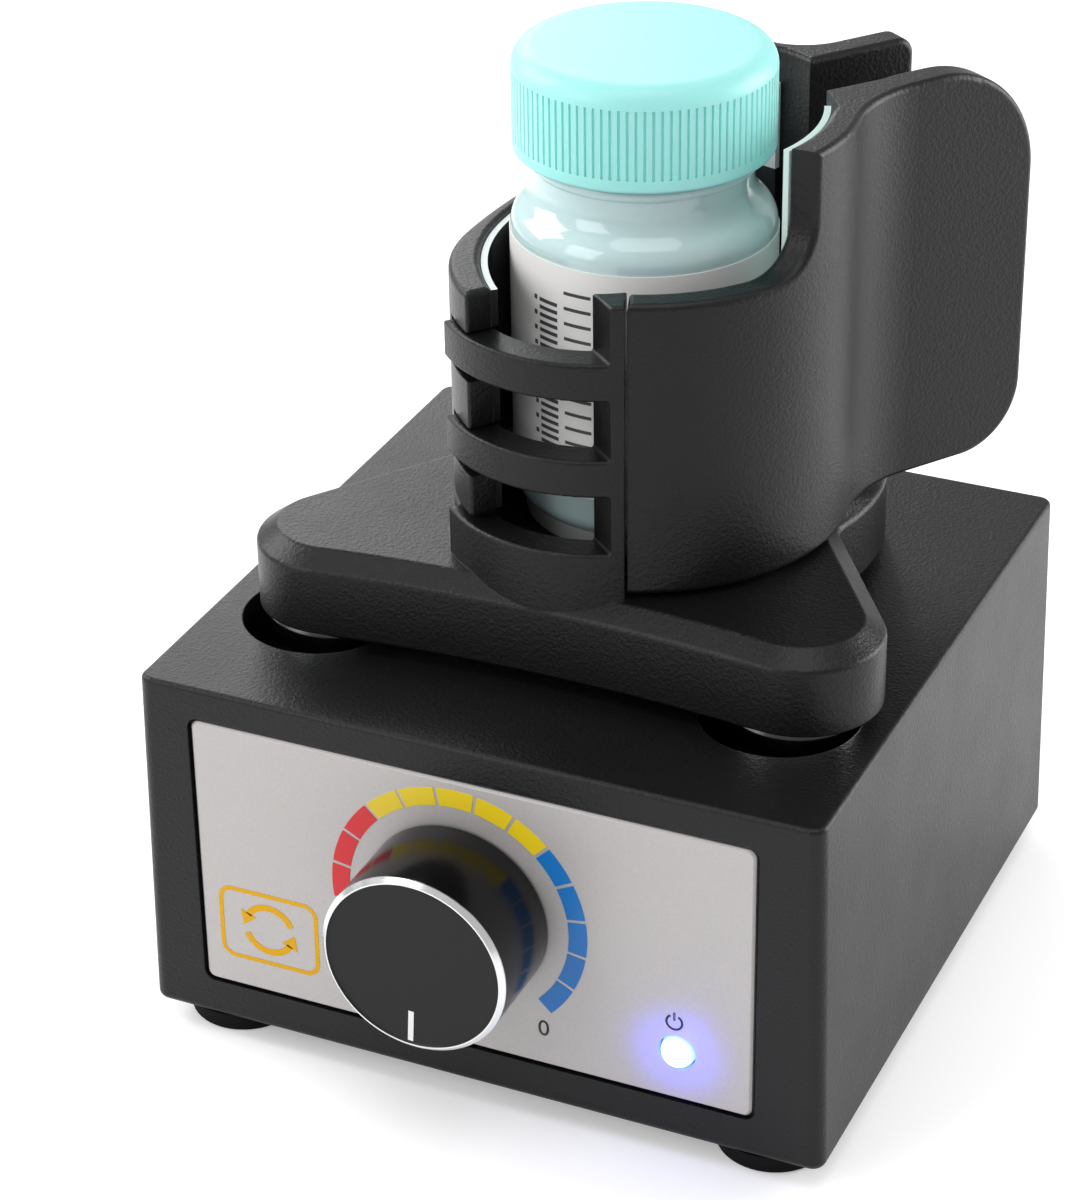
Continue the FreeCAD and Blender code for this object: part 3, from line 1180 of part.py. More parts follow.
def make_bottle():
    low = bottle_low()
    outer = turned(bottle_profile(0, low, mouth_z()))
    outer = outer.makeFillet(BOTTLE_BASE_R, edges_where(outer, lambda e: level(e, low) and e.BoundBox.XLength > 1))
    bead = rod(BOTTLE_BEAD_R, BOTTLE_BEAD_H, V(BOTTLE_X, BOTTLE_Y, low + BOTTLE_BEAD_LOW_H))
    bead = bead.makeFillet(BOTTLE_BEAD_H / 2 - 0.1, edges_where(bead, lambda e: e.BoundBox.XLength > 1
                                                                and e.BoundBox.ZLength < 1e-3))
    inner = turned(bottle_profile(BOTTLE_WALL, low + BOTTLE_WALL, mouth_z() + 1))
    return outer.fuse(bead).cut(inner)


def make_label():
    low = bottle_low() + LABEL_LOW_H
    inner_r = BOTTLE_R + LABEL_SEAT
    return tube(inner_r + LABEL_T, inner_r, LABEL_H, V(BOTTLE_X, BOTTLE_Y, low))


def cap_low():
    return bottle_low() + CAP_LOW_H


def mouth_z():
    return bottle_low() + BOTTLE_BODY_H + BOTTLE_SHOULDER_H + BOTTLE_NECK_H


def make_cap_liner():
    return rod(CAP_R - CAP_WALL - 0.3, CAP_LINER_T, V(BOTTLE_X, BOTTLE_Y, mouth_z() + REST_GAP))


def make_bottle_cap():
    low = cap_low()
    hollow_top = mouth_z() + REST_GAP + CAP_LINER_T + REST_GAP
    top = hollow_top + CAP_TOP_T
    centre = V(BOTTLE_X, BOTTLE_Y, 0)
    crown = rod(CAP_R, top - low, centre + V(0, 0, low))
    crown = crown.makeFillet(CAP_CROWN_R, edges_where(crown, lambda e: level(e, top)))
    lip = edges_where(crown, lambda e: level(e, low))
    crown = crown.makeFillet(CAP_LIP_R, lip)
    step = 360 / CAP_RIBS
    points = []
    for i in range(CAP_RIBS):
        for j, share in enumerate(CAP_RIB_SHARES):
            radius = CAP_R + CAP_RIB_DEPTH if j < 2 else CAP_R - CAP_RIB_DEPTH
            points.append(polar(BOTTLE_X, BOTTLE_Y, radius, (i + share) * step))
    ribbed = Part.Face(Part.makePolygon(points + [points[0]]))
    band_h = top - low - CAP_LIP_H - CAP_CROWN_R
    band = Part.Face(Part.Wire(Part.makeCircle(CAP_R + 1, centre))).cut(ribbed).extrude(V(0, 0, band_h))
    band.translate(V(0, 0, low + CAP_LIP_H))
    hollow = rod(CAP_R - CAP_WALL, hollow_top - low, centre + V(0, 0, low))
    return crown.cut([band, hollow])


PLATFORM_CARRIED = "platform"

NODES = [
    ("housing_shell", make_housing, None),
    ("base_cover", make_base_cover, None),
    ("rubber_feet", make_feet, None),
    ("base_screws", make_base_screws, None),
    ("front_panel", make_front_panel, None),
    ("dial_band_low", lambda: make_dial_band(0), None),
    ("dial_band_middle", lambda: make_dial_band(1), None),
    ("dial_band_high", lambda: make_dial_band(2), None),
    ("power_lamp", make_lamp, None),
    ("lamp_holder", make_lamp_holder, None),
    ("potentiometer", make_pot_body, None),
    ("potentiometer_nut", make_pot_nut, None),
    ("control_board", make_control_board, None),
    ("board_parts", make_board_parts, None),
    ("power_inlet", make_power_inlet, None),
    ("inlet_nut", make_inlet_nut, None),
    ("motor_can", make_motor_can, None),
    ("motor_end_cap", make_motor_end_cap, None),
    ("motor_plate", make_motor_plate, None),
    ("motor_plate_screws", make_plate_screws, None),
    ("motor_shaft", make_motor_shaft, None),
    ("eccentric_hub", make_eccentric_hub, None),
    ("counterweight", make_counterweight, None),
    ("hub_grub_screw", make_grub_screw, None),
    ("eccentric_pin", make_eccentric_pin, None),
    ("bearing_inner_ring", make_bearing_inner, None),
    ("bearing_outer_ring", make_bearing_outer, PLATFORM_CARRIED),
    ("bearing_balls", make_bearing_balls, PLATFORM_CARRIED),
    ("bearing_retainer", make_bearing_retainer, PLATFORM_CARRIED),
    ("platform", make_platform, PLATFORM_CARRIED),
    ("bottle_mat", make_mat, PLATFORM_CARRIED),
    ("clamp_pivot_pin", make_pivot_pin, PLATFORM_CARRIED),
    ("clamp_spring", make_clamp_spring, PLATFORM_CARRIED),
    ("right_jaw", make_right_jaw, PLATFORM_CARRIED),
    ("right_jaw_liner", make_right_liner, PLATFORM_CARRIED),
    ("left_jaw", make_left_jaw, PLATFORM_CARRIED),
    ("left_jaw_liner", make_left_liner, PLATFORM_CARRIED),
    ("knob_body", make_knob_body, None),
    ("knob_rim", make_knob_rim, None),
    ("knob_pointer", make_knob_pointer, None),
    ("potentiometer_shaft", make_pot_shaft, None),
    ("bottle", make_bottle, PLATFORM_CARRIED),
    ("bottle_label", make_label, PLATFORM_CARRIED),
    ("bottle_cap", make_bottle_cap, PLATFORM_CARRIED),
    ("bottle_cap_liner", make_cap_liner, PLATFORM_CARRIED),
]
for pocket_name, pocket_place in POCKETS:
    NODES.append(("support_ball_" + pocket_name, lambda place=pocket_place: make_ball(place), None))


def main():
    os.makedirs("parts", exist_ok=True)
    for name, make, carrier in NODES:
        shape = make()
        if carrier == PLATFORM_CARRIED:
            shape.translate(PLATFORM_SHIFT)
        shape.translate(ORIGIN_SHIFT)
        shape.exportStep(os.path.join("parts", name + ".step"))
        print(name, len(shape.Solids), round(shape.Volume, 1), shape.isValid())


main()
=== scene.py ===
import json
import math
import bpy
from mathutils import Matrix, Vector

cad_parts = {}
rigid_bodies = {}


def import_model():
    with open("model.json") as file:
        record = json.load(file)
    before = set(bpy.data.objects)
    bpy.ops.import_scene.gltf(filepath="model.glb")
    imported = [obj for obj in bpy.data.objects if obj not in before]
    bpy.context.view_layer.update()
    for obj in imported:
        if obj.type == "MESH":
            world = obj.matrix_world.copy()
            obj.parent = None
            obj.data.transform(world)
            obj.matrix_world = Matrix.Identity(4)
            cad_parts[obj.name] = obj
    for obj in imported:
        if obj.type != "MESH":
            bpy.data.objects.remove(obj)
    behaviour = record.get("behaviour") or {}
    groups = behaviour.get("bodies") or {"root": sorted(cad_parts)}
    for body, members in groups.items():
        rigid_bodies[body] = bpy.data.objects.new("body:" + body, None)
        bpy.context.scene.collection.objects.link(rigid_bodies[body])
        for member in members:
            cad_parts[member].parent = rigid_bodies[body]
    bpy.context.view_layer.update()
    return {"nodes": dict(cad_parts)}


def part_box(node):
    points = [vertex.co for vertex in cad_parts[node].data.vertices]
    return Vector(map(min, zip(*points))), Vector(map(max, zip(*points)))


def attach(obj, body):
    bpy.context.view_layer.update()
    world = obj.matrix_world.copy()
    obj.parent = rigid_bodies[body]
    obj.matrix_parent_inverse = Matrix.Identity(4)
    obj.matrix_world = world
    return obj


bl_info = {
    "name": "Mini Vortex Mixer",
    "version": (1, 0, 0),
    "blender": (4, 5, 0),
    "location": "View3D > Sidebar > Mixer",
    "description": "Dresses the vortex mixer with its finishes, small details and studio",
    "category": "Object",
}

import bmesh
import bpy
from bpy.props import FloatProperty, FloatVectorProperty, PointerProperty
from mathutils import Matrix, Vector

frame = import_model()
MM = 0.001

PANEL_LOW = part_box("front_panel")[0]
KNOB_LOW, KNOB_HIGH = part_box("knob_body")
LAMP_LOW, LAMP_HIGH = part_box("power_lamp")
BOTTLE_LOW, BOTTLE_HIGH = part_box("bottle")
SHELL_LOW, SHELL_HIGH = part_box("housing_shell")
PANEL_Y = PANEL_LOW.y
CAGE_TOP_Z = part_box("platform")[1].z
KNOB_X = (KNOB_LOW.x + KNOB_HIGH.x) / 2
KNOB_Z = (KNOB_LOW.z + KNOB_HIGH.z) / 2
LAMP_X = (LAMP_LOW.x + LAMP_HIGH.x) / 2
LAMP_Z = (LAMP_LOW.z + LAMP_HIGH.z) / 2
BOTTLE_X = (BOTTLE_LOW.x + BOTTLE_HIGH.x) / 2
BOTTLE_Y = (BOTTLE_LOW.y + BOTTLE_HIGH.y) / 2

# Sockets of a Mix node that mixes colours: the two colours and the result
MIX_A, MIX_B, MIX_OUT = 6, 7, 2

# A noise texture's value lies mostly between these
NOISE_LOW, NOISE_HIGH = 0.3, 0.7

# The lamp's light painted on the panel as a glow: where it starts and ends, how fast it fades and how strong
# it is
HALO_START, HALO_END = 2.2 * MM, 13.0 * MM
HALO_FADE, HALO_STRENGTH = 2.2, 0.5

# Printed lines on the label: from and to angle in degrees, bottom and top in mm, pitch in mm and share of it
LABEL_PRINT = (
    (-117.0, -106.5, 84.0, 108.6, 1.1, 0.5),
    (-120.5, -118.5, 84.0, 108.6, 2.2, 0.3),
    (-103.0, -90.0, 86.0, 110.5, 2.2, 0.22),
    (-98.0, -90.0, 77.0, 81.0, 2.2, 0.22),
)

# Soft boxes: name, place and aim in metres, width and height in metres, power in watts
SOFT_BOXES = (
    ("box_right", (0.46, 0.34, 0.2), (0.0, 0.0, 0.06), 0.35, 0.35, 2.4),
    ("box_back_left", (-0.5, 0.62, 0.43), (0.0, 0.0, 0.05), 0.45, 0.35, 1.7),
    ("box_left", (-0.55, 0.0, 0.4), (0.0, 0.0, 0.07), 0.35, 0.4, 2.2),
    ("box_top", (0.1, -0.2, 0.9), (0.0, 0.0, 0.0), 0.6, 0.6, 2.0),
    ("box_front_left", (-0.4, -0.6, 0.45), (0.0, 0.0, 0.05), 0.4, 0.5, 1.7),
)

# The camera: place from the housing's middle, turn, tilt and roll in degrees, lens and sensor in mm
CAMERA_X, CAMERA_Y, CAMERA_Z = 174.247 * MM, -404.804 * MM, 305.526 * MM
CAMERA_TURN, CAMERA_TILT, CAMERA_ROLL = 24.784, 29.609, -0.937
CAMERA_LENS, CAMERA_SENSOR = 106.257, 36.0


class MixerColours(bpy.types.PropertyGroup):
    """Colours of the mixer's finishes, as sRGB values."""

    plastic: FloatVectorProperty(
        name="Black plastic", description="Housing, platform and clamp", subtype="COLOR_GAMMA",
        size=3, min=0.0, max=1.0, default=(0.058, 0.058, 0.06))
    panel: FloatVectorProperty(
        name="Panel", description="Silver control panel", subtype="COLOR_GAMMA",
        size=3, min=0.0, max=1.0, default=(0.77, 0.755, 0.75))
    cap: FloatVectorProperty(
        name="Cap", description="Bottle cap", subtype="COLOR_GAMMA",
        size=3, min=0.0, max=1.0, default=(0.645, 0.93, 0.915))
    bottle: FloatVectorProperty(
        name="Bottle", description="Tint of the clear bottle", subtype="COLOR_GAMMA",
        size=3, min=0.0, max=1.0, default=(0.86, 0.965, 0.97))


class MixerSizes(bpy.types.PropertyGroup):
    """Sizes of the details that are added to the mixer."""

    numeral_height: FloatProperty(
        name="Numeral height", description="Height of the plain figure at the dial's start",
        subtype="DISTANCE", unit="LENGTH", default=2.6 * MM, min=0.5 * MM, max=10 * MM)
    print_thickness: FloatProperty(
        name="Print thickness", description="How far printed marks stand proud of the panel",
        subtype="DISTANCE", unit="LENGTH", default=0.04 * MM, min=0.01 * MM, max=1 * MM)
    badge_width: FloatProperty(
        name="Badge width", description="Width of the gold turning symbol's frame",
        subtype="DISTANCE", unit="LENGTH", default=15.6 * MM, min=2 * MM, max=40 * MM)
    badge_height: FloatProperty(
        name="Badge height", description="Height of the gold turning symbol's frame",
        subtype="DISTANCE", unit="LENGTH", default=12.0 * MM, min=2 * MM, max=40 * MM)


def linear(colour):
    """An sRGB colour, as a hex text or three numbers, turned to linear RGBA."""
    if isinstance(colour, str):
        text = colour.lstrip("#")
        colour = [int(text[i:i + 2], 16) / 255 for i in (0, 2, 4)]
    out = [c / 12.92 if c <= 0.04045 else ((c + 0.055) / 1.055) ** 2.4 for c in colour]
    return (*out, 1.0)


def add_node(tree, kind, links=None, values=None, **settings):
    """One node: its settings, its input values and what feeds its inputs."""
    made = tree.nodes.new(kind)
    for name, value in settings.items():
        setattr(made, name, value)
    for key, value in (values or {}).items():
        made.inputs[key].default_value = value
    for key, source in (links or {}).items():
        tree.links.new(source, made.inputs[key])
    return made


def new_material(name):
    """An empty material, its node tree and its output node."""
    material = bpy.data.materials.new(name)
    material.use_nodes = True
    tree = material.node_tree
    tree.nodes.clear()
    output = tree.nodes.new("ShaderNodeOutputMaterial")
    return material, tree, output


def finish_material(tree, output, surface):
    """Ties the finished shader to the output."""
    tree.links.new(surface, output.inputs["Surface"])


def moulded_abs(name, colour, grain_mm=0.5, depth_mm=0.05, roughness=0.4, edge_mm=0.3):
    """Black ABS from a spark-eroded mould: fine leather grain, satin gloss, bright lines on its corners."""
    material, tree, output = new_material(name)
    place = add_node(tree, "ShaderNodeTexCoord").outputs["Object"]
    pebble = add_node(tree, "ShaderNodeTexVoronoi", {"Vector": place}, {"Scale": 1 / (grain_mm * MM)},
                      feature="SMOOTH_F1")
    fine = add_node(tree, "ShaderNodeTexNoise", {"Vector": place},
                    {"Scale": 2 / (grain_mm * MM), "Detail": 3.0, "Roughness": 0.65})
    height = add_node(tree, "ShaderNodeMath", {0: pebble.outputs["Distance"], 1: fine.outputs["Fac"]},
                      operation="ADD")
    soft = add_node(tree, "ShaderNodeBevel", values={"Radius": edge_mm * MM}, samples=4)
    bump = add_node(tree, "ShaderNodeBump", {"Height": height.outputs[0], "Normal": soft.outputs[0]},
                    {"Strength": 1.0, "Distance": depth_mm * MM})
    # Patches of the moulding about 17 mm wide are a little glossier or duller than the rest
    cloud = add_node(tree, "ShaderNodeTexNoise", {"Vector": place}, {"Scale": 60.0, "Detail": 2.0})
    gloss = add_node(tree, "ShaderNodeMapRange", {"Value": cloud.outputs["Fac"]},
                     {"From Min": NOISE_LOW, "From Max": NOISE_HIGH,
                      "To Min": roughness - 0.03, "To Max": roughness + 0.04})
    shader = add_node(tree, "ShaderNodeBsdfPrincipled",
                      {"Roughness": gloss.outputs["Result"], "Normal": bump.outputs["Normal"],
                       "Coat Normal": bump.outputs["Normal"]},
                      {"Base Color": linear(colour), "IOR": 1.5, "Specular IOR Level": 0.2,
                       "Coat Weight": 0.32, "Coat Roughness": 0.22, "Coat IOR": 1.45})
    finish_material(tree, output, shader.outputs["BSDF"])
    return material


def satin_panel(name, colour):
    """Silver-coated aluminium sheet: very fine sparkle, satin, with a painted glow of light from the lamp
    beside it.
    """
    material, tree, output = new_material(name)
    place = add_node(tree, "ShaderNodeTexCoord").outputs["Object"]
    speck = add_node(tree, "ShaderNodeTexNoise", {"Vector": place},
                     {"Scale": 1 / (0.25 * MM), "Detail": 1.0})
    tone = add_node(tree, "ShaderNodeMapRange", {"Value": speck.outputs["Fac"]},
                    {"From Min": NOISE_LOW, "From Max": NOISE_HIGH, "To Min": 0.96, "To Max": 1.03})
    shade = add_node(tree, "ShaderNodeMix", {MIX_B: tone.outputs["Result"]},
                     {"Factor": 1.0, MIX_A: linear(colour)}, data_type="RGBA", blend_type="MULTIPLY")
    bump = add_node(tree, "ShaderNodeBump", {"Height": speck.outputs["Fac"]},
                    {"Strength": 0.12, "Distance": 0.01 * MM})
    # Painted light: the panel's own emission paints the lamp's blue glow around it
    apart = add_node(tree, "ShaderNodeVectorMath", {0: place}, {1: (LAMP_X, PANEL_Y, LAMP_Z)},
                     operation="DISTANCE")
    glow = add_node(tree, "ShaderNodeMapRange", {"Value": apart.outputs["Value"]},
                    {"From Min": HALO_START, "From Max": HALO_END, "To Min": 1.0, "To Max": 0.0},
                    interpolation_type="SMOOTHERSTEP")
    power = add_node(tree, "ShaderNodeMath", {0: glow.outputs["Result"]}, {1: HALO_FADE}, operation="POWER")
    light = add_node(tree, "ShaderNodeMath", {0: power.outputs[0]}, {1: HALO_STRENGTH},
                     operation="MULTIPLY")
    shader = add_node(tree, "ShaderNodeBsdfPrincipled",
                      {"Base Color": shade.outputs[MIX_OUT], "Normal": bump.outputs["Normal"],
                       "Emission Strength": light.outputs[0]},
                      {"Metallic": 0.35, "Roughness": 0.5, "Emission Color": linear("#3A38FF")})
    finish_material(tree, output, shader.outputs["BSDF"])
    return material


def plain_finish(name, colour, roughness, metallic=0.0, grain_mm=1.5, strength=0.1, shine=0.5):
    """A smooth finish with a slight unevenness: prints, steel, brass, rubber and small mouldings."""
    material, tree, output = new_material(name)
    place = add_node(tree, "ShaderNodeTexCoord").outputs["Object"]
    cloud = add_node(tree, "ShaderNodeTexNoise", {"Vector": place},
                     {"Scale": 1 / (grain_mm * MM), "Detail": 2.0})
    gloss = add_node(tree, "ShaderNodeMapRange", {"Value": cloud.outputs["Fac"]},
                     {"From Min": NOISE_LOW, "From Max": NOISE_HIGH,
                      "To Min": max(roughness - 0.05, 0.02), "To Max": roughness + 0.05})
    bump = add_node(tree, "ShaderNodeBump", {"Height": cloud.outputs["Fac"]},
                    {"Strength": strength, "Distance": 0.02 * MM})
    values = {"Base Color": linear(colour), "Metallic": metallic}
    if not metallic:
        values.update({"IOR": 1.5, "Specular IOR Level": shine})
    shader = add_node(tree, "ShaderNodeBsdfPrincipled",
                      {"Roughness": gloss.outputs["Result"], "Normal": bump.outputs["Normal"]}, values)
    finish_material(tree, output, shader.outputs["BSDF"])
    return material


def black_ink():
    """Black screen-printing ink, cured: a flat satin black that stands a hair above the panel."""
    name = "black_screen_print"
    return bpy.data.materials.get(name) or plain_finish(name, "#1C1C1E", 0.45)


def anodised_knob(name):
    """Turned and black-anodised aluminium: polished side, matt face with faint turning rings."""
    material, tree, output = new_material(name)
    place = add_node(tree, "ShaderNodeTexCoord").outputs["Object"]
    parts = add_node(tree, "ShaderNodeSeparateXYZ", {"Vector": place})
    on_face = add_node(tree, "ShaderNodeMath", {0: parts.outputs["Y"]},
                       {1: KNOB_LOW.y + 0.4 * MM}, operation="LESS_THAN")
    centred = add_node(tree, "ShaderNodeMapping", {"Vector": place},
                       {"Location": (-KNOB_X, 0.0, -KNOB_Z), "Scale": (1.0, 0.0, 1.0)})
    # Real turning marks are finer: these rings are drawn coarse enough to show
    rings = add_node(tree, "ShaderNodeTexWave", {"Vector": centred.outputs[0]},
                     {"Scale": 1 / (1.2 * MM), "Distortion": 0.4, "Detail": 1.0},
                     wave_type="RINGS", rings_direction="SPHERICAL")
    bump = add_node(tree, "ShaderNodeBump", {"Height": rings.outputs["Fac"]},
                    {"Strength": 0.06, "Distance": 0.01 * MM})
    gloss = add_node(tree, "ShaderNodeMix", {"Factor": on_face.outputs[0]}, {"A": 0.2, "B": 0.5},
                     data_type="FLOAT")
    tint = add_node(tree, "ShaderNodeMix", {0: on_face.outputs[0]},
                    {MIX_A: linear("#0A0A0C"), MIX_B: linear("#121213")}, data_type="RGBA")
    shader = add_node(tree, "ShaderNodeBsdfPrincipled",
                      {"Base Color": tint.outputs[MIX_OUT], "Roughness": gloss.outputs["Result"],
                       "Normal": bump.outputs["Normal"]},
                      {"Specular IOR Level": 0.35})
    finish_material(tree, output, shader.outputs["BSDF"])
    return material


def lit_lamp(name):
    """Water-clear epoxy lamp that is on: white core, blue edge."""
    material, tree, output = new_material(name)
    place = add_node(tree, "ShaderNodeTexCoord").outputs["Object"]
    apart = add_node(tree, "ShaderNodeVectorMath", {0: place}, {1: (LAMP_X, LAMP_LOW.y, LAMP_Z)},
                     operation="DISTANCE")
    core = add_node(tree, "ShaderNodeMapRange", {"Value": apart.outputs["Value"]},
                    {"From Min": 0.8 * MM, "From Max": 3.0 * MM, "To Min": 0.0, "To Max": 1.0})
    tint = add_node(tree, "ShaderNodeMix", {0: core.outputs["Result"]},
                    {MIX_A: linear("#FFFFFF"), MIX_B: linear("#4C8CFF")}, data_type="RGBA")
    shader = add_node(tree, "ShaderNodeBsdfPrincipled", {"Emission Color": tint.outputs[MIX_OUT]},
                      {"Base Color": linear("#DCE8FF"), "Roughness": 0.15, "IOR": 1.55,
                       "Emission Strength": 2.6})
    finish_material(tree, output, shader.outputs["BSDF"])
    return material


def clear_bottle(name, colour):
    """Blown polyester with a milky pale tint: light passes into it, glossy, slightly rippled."""
    material, tree, output = new_material(name)
    place = add_node(tree, "ShaderNodeTexCoord").outputs["Object"]
    ripple = add_node(tree, "ShaderNodeTexNoise", {"Vector": place}, {"Scale": 1 / (9 * MM), "Detail": 1.0})
    bump = add_node(tree, "ShaderNodeBump", {"Height": ripple.outputs["Fac"]},
                    {"Strength": 0.15, "Distance": 0.6 * MM})
    shader = add_node(tree, "ShaderNodeBsdfPrincipled", {"Normal": bump.outputs["Normal"]},
                      {"Base Color": linear(colour), "Roughness": 0.05, "IOR": 1.5,
                       "Transmission Weight": 0.2, "Specular IOR Level": 0.8})
    finish_material(tree, output, shader.outputs["BSDF"])
    return material


def moulded_cap(name, colour):
    """Injection-moulded polypropylene: satin, a little light passes into it."""
    material, tree, output = new_material(name)
    place = add_node(tree, "ShaderNodeTexCoord").outputs["Object"]
    cloud = add_node(tree, "ShaderNodeTexNoise", {"Vector": place},
                     {"Scale": 1 / (0.6 * MM), "Detail": 3.0})
    bump = add_node(tree, "ShaderNodeBump", {"Height": cloud.outputs["Fac"]},
                    {"Strength": 0.12, "Distance": 0.015 * MM})
    shader = add_node(tree, "ShaderNodeBsdfPrincipled", {"Normal": bump.outputs["Normal"]},
                      {"Base Color": linear(colour), "Roughness": 0.38, "IOR": 1.49,
                       "Subsurface Weight": 0.25, "Subsurface Scale": 1.5 * MM})
    finish_material(tree, output, shader.outputs["BSDF"])
    return material


def clear_lining(name):
    """Calendered clear vinyl: painted shade makes it dark, painted highlight makes its up-facing cut edges
    white, and painted light makes its high strip white.
    """
    material, tree, output = new_material(name)
    normal = add_node(tree, "ShaderNodeNewGeometry").outputs["Normal"]
    parts = add_node(tree, "ShaderNodeSeparateXYZ", {"Vector": normal})
    edge = add_node(tree, "ShaderNodeMath", {0: parts.outputs["Z"]}, {1: 0.5}, operation="GREATER_THAN")
    place = add_node(tree, "ShaderNodeTexCoord").outputs["Object"]
    ripple = add_node(tree, "ShaderNodeTexNoise", {"Vector": place}, {"Scale": 1 / (5 * MM), "Detail": 1.0})
    bump = add_node(tree, "ShaderNodeBump", {"Height": ripple.outputs["Fac"]},
                    {"Strength": 0.2, "Distance": 0.4 * MM})
    spot = add_node(tree, "ShaderNodeSeparateXYZ", {"Vector": place})
    # Painted light: above this height the lining is painted pale, as if out of the jaw's shade
    high = add_node(tree, "ShaderNodeMath", {0: spot.outputs["Z"]}, {1: CAGE_TOP_Z - 1 * MM},
                    operation="GREATER_THAN")
    light = add_node(tree, "ShaderNodeMath", {0: edge.outputs[0], 1: high.outputs[0]}, operation="MAXIMUM")
    # Painted shade and highlight: dark where the lining lies in shade, pale on up-facing edges and on the
    # high strip
    tint = add_node(tree, "ShaderNodeMix", {0: light.outputs[0]},
                    {MIX_A: linear("#242728"), MIX_B: linear("#E4E8E8")}, data_type="RGBA")
    gloss = add_node(tree, "ShaderNodeMix", {"Factor": edge.outputs[0]}, {"A": 0.14, "B": 0.5},
                     data_type="FLOAT")
    shader = add_node(tree, "ShaderNodeBsdfPrincipled",
                      {"Base Color": tint.outputs[MIX_OUT], "Roughness": gloss.outputs["Result"],
                       "Normal": bump.outputs["Normal"]}, {"IOR": 1.53})
    finish_material(tree, output, shader.outputs["BSDF"])
    return material


def between(tree, source, low, high):
    """One where the source lies between low and high, nought elsewhere."""
    above = add_node(tree, "ShaderNodeMath", {0: source}, {1: low}, operation="GREATER_THAN")
    below = add_node(tree, "ShaderNodeMath", {0: source}, {1: high}, operation="LESS_THAN")
    return add_node(tree, "ShaderNodeMath", {0: above.outputs[0], 1: below.outputs[0]},
                    operation="MULTIPLY").outputs[0]


def stripes(tree, height, pitch_mm, share):
    """Level lines that repeat at a pitch, each as thick as the given share of it."""
    turns = add_node(tree, "ShaderNodeMath", {0: height}, {1: 1 / (pitch_mm * MM)}, operation="MULTIPLY")
    step = add_node(tree, "ShaderNodeMath", {0: turns.outputs[0]}, operation="FRACT")
    line = add_node(tree, "ShaderNodeMath", {0: step.outputs[0]}, {1: share}, operation="LESS_THAN")
    return line.outputs[0]


def paper_label(name):
    """Uncoated white paper with a printed graduation scale and ruled writing lines beside it."""
    material, tree, output = new_material(name)
    place = add_node(tree, "ShaderNodeTexCoord").outputs["Object"]
    centred = add_node(tree, "ShaderNodeMapping", {"Vector": place},
                       {"Location": (-BOTTLE_X, -BOTTLE_Y, 0.0)})
    parts = add_node(tree, "ShaderNodeSeparateXYZ", {"Vector": centred.outputs[0]})
    turn = add_node(tree, "ShaderNodeMath", {0: parts.outputs["Y"], 1: parts.outputs["X"]},
                    operation="ARCTAN2")
    degrees = add_node(tree, "ShaderNodeMath", {0: turn.outputs[0]}, operation="DEGREES").outputs[0]
    height = parts.outputs["Z"]
    printed = None
    for low, high, bottom, top, pitch, share in LABEL_PRINT:
        wide = between(tree, degrees, low, high)
        tall = between(tree, height, bottom * MM, top * MM)
        patch = add_node(tree, "ShaderNodeMath", {0: wide, 1: tall}, operation="MULTIPLY")
        lines = stripes(tree, height, pitch, share)
        mark = add_node(tree, "ShaderNodeMath", {0: patch.outputs[0], 1: lines}, operation="MULTIPLY")
        if printed is not None:
            mark = add_node(tree, "ShaderNodeMath", {0: printed, 1: mark.outputs[0]}, operation="MAXIMUM")
        printed = mark.outputs[0]
    ink = add_node(tree, "ShaderNodeMix", {0: printed},
                   {MIX_A: linear("#FBFAF8"), MIX_B: linear("#4A4A4C")}, data_type="RGBA")
    fibre = add_node(tree, "ShaderNodeTexNoise", {"Vector": place},
                     {"Scale": 1 / (0.3 * MM), "Detail": 4.0})
    bump = add_node(tree, "ShaderNodeBump", {"Height": fibre.outputs["Fac"]},
                    {"Strength": 0.1, "Distance": 0.02 * MM})
    shader = add_node(tree, "ShaderNodeBsdfPrincipled",
                      {"Base Color": ink.outputs[MIX_OUT], "Normal": bump.outputs["Normal"]},
                      {"Roughness": 0.45, "IOR": 1.45})
    finish_material(tree, output, shader.outputs["BSDF"])
    return material


def paint(names, material):
    """Gives the constructed parts of these names their finish."""
    for name in names:
        data = frame["nodes"][name].data
        data.materials.clear()
        data.materials.append(material)


def deselect_all():
    """Leaves nothing selected, as an operator acts on all that is."""
    for thing in bpy.data.objects:
        thing.select_set(False)


def settle(thing, name, material):
    """Names a new piece, puts its place into its mesh, and ties it to the base and its finish."""
    deselect_all()
    thing.select_set(True)
    bpy.context.view_layer.objects.active = thing
    if thing.type != "MESH":
        bpy.ops.object.convert(target="MESH")
        thing = bpy.context.view_layer.objects.active
    bpy.ops.object.transform_apply(location=True, rotation=True, scale=True)
    thing.name = name
    thing.data.materials.clear()
    thing.data.materials.append(material)
    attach(thing, "base")


def pick_faces(test):
    """In edit mode, selects the faces whose middle passes the test."""
    bpy.ops.mesh.select_all(action="DESELECT")
    bpy.ops.mesh.select_mode(type="FACE")
    shape = bmesh.from_edit_mesh(bpy.context.object.data)
    for face in shape.faces:
        face.select_set(test(face.calc_center_median()))
    shape.select_flush(True)
    bmesh.update_edit_mesh(bpy.context.object.data)


def raise_print(thickness):
    """In edit mode, turns the flat shape into a thin closed print that stands proud of the panel."""
    bpy.ops.mesh.select_all(action="SELECT")
    bpy.ops.mesh.extrude_region_move(TRANSFORM_OT_translate={"value": (0, -thickness, 0)})
    bpy.ops.mesh.select_all(action="SELECT")
    bpy.ops.mesh.normals_make_consistent(inside=False)
    bpy.ops.object.mode_set(mode="OBJECT")


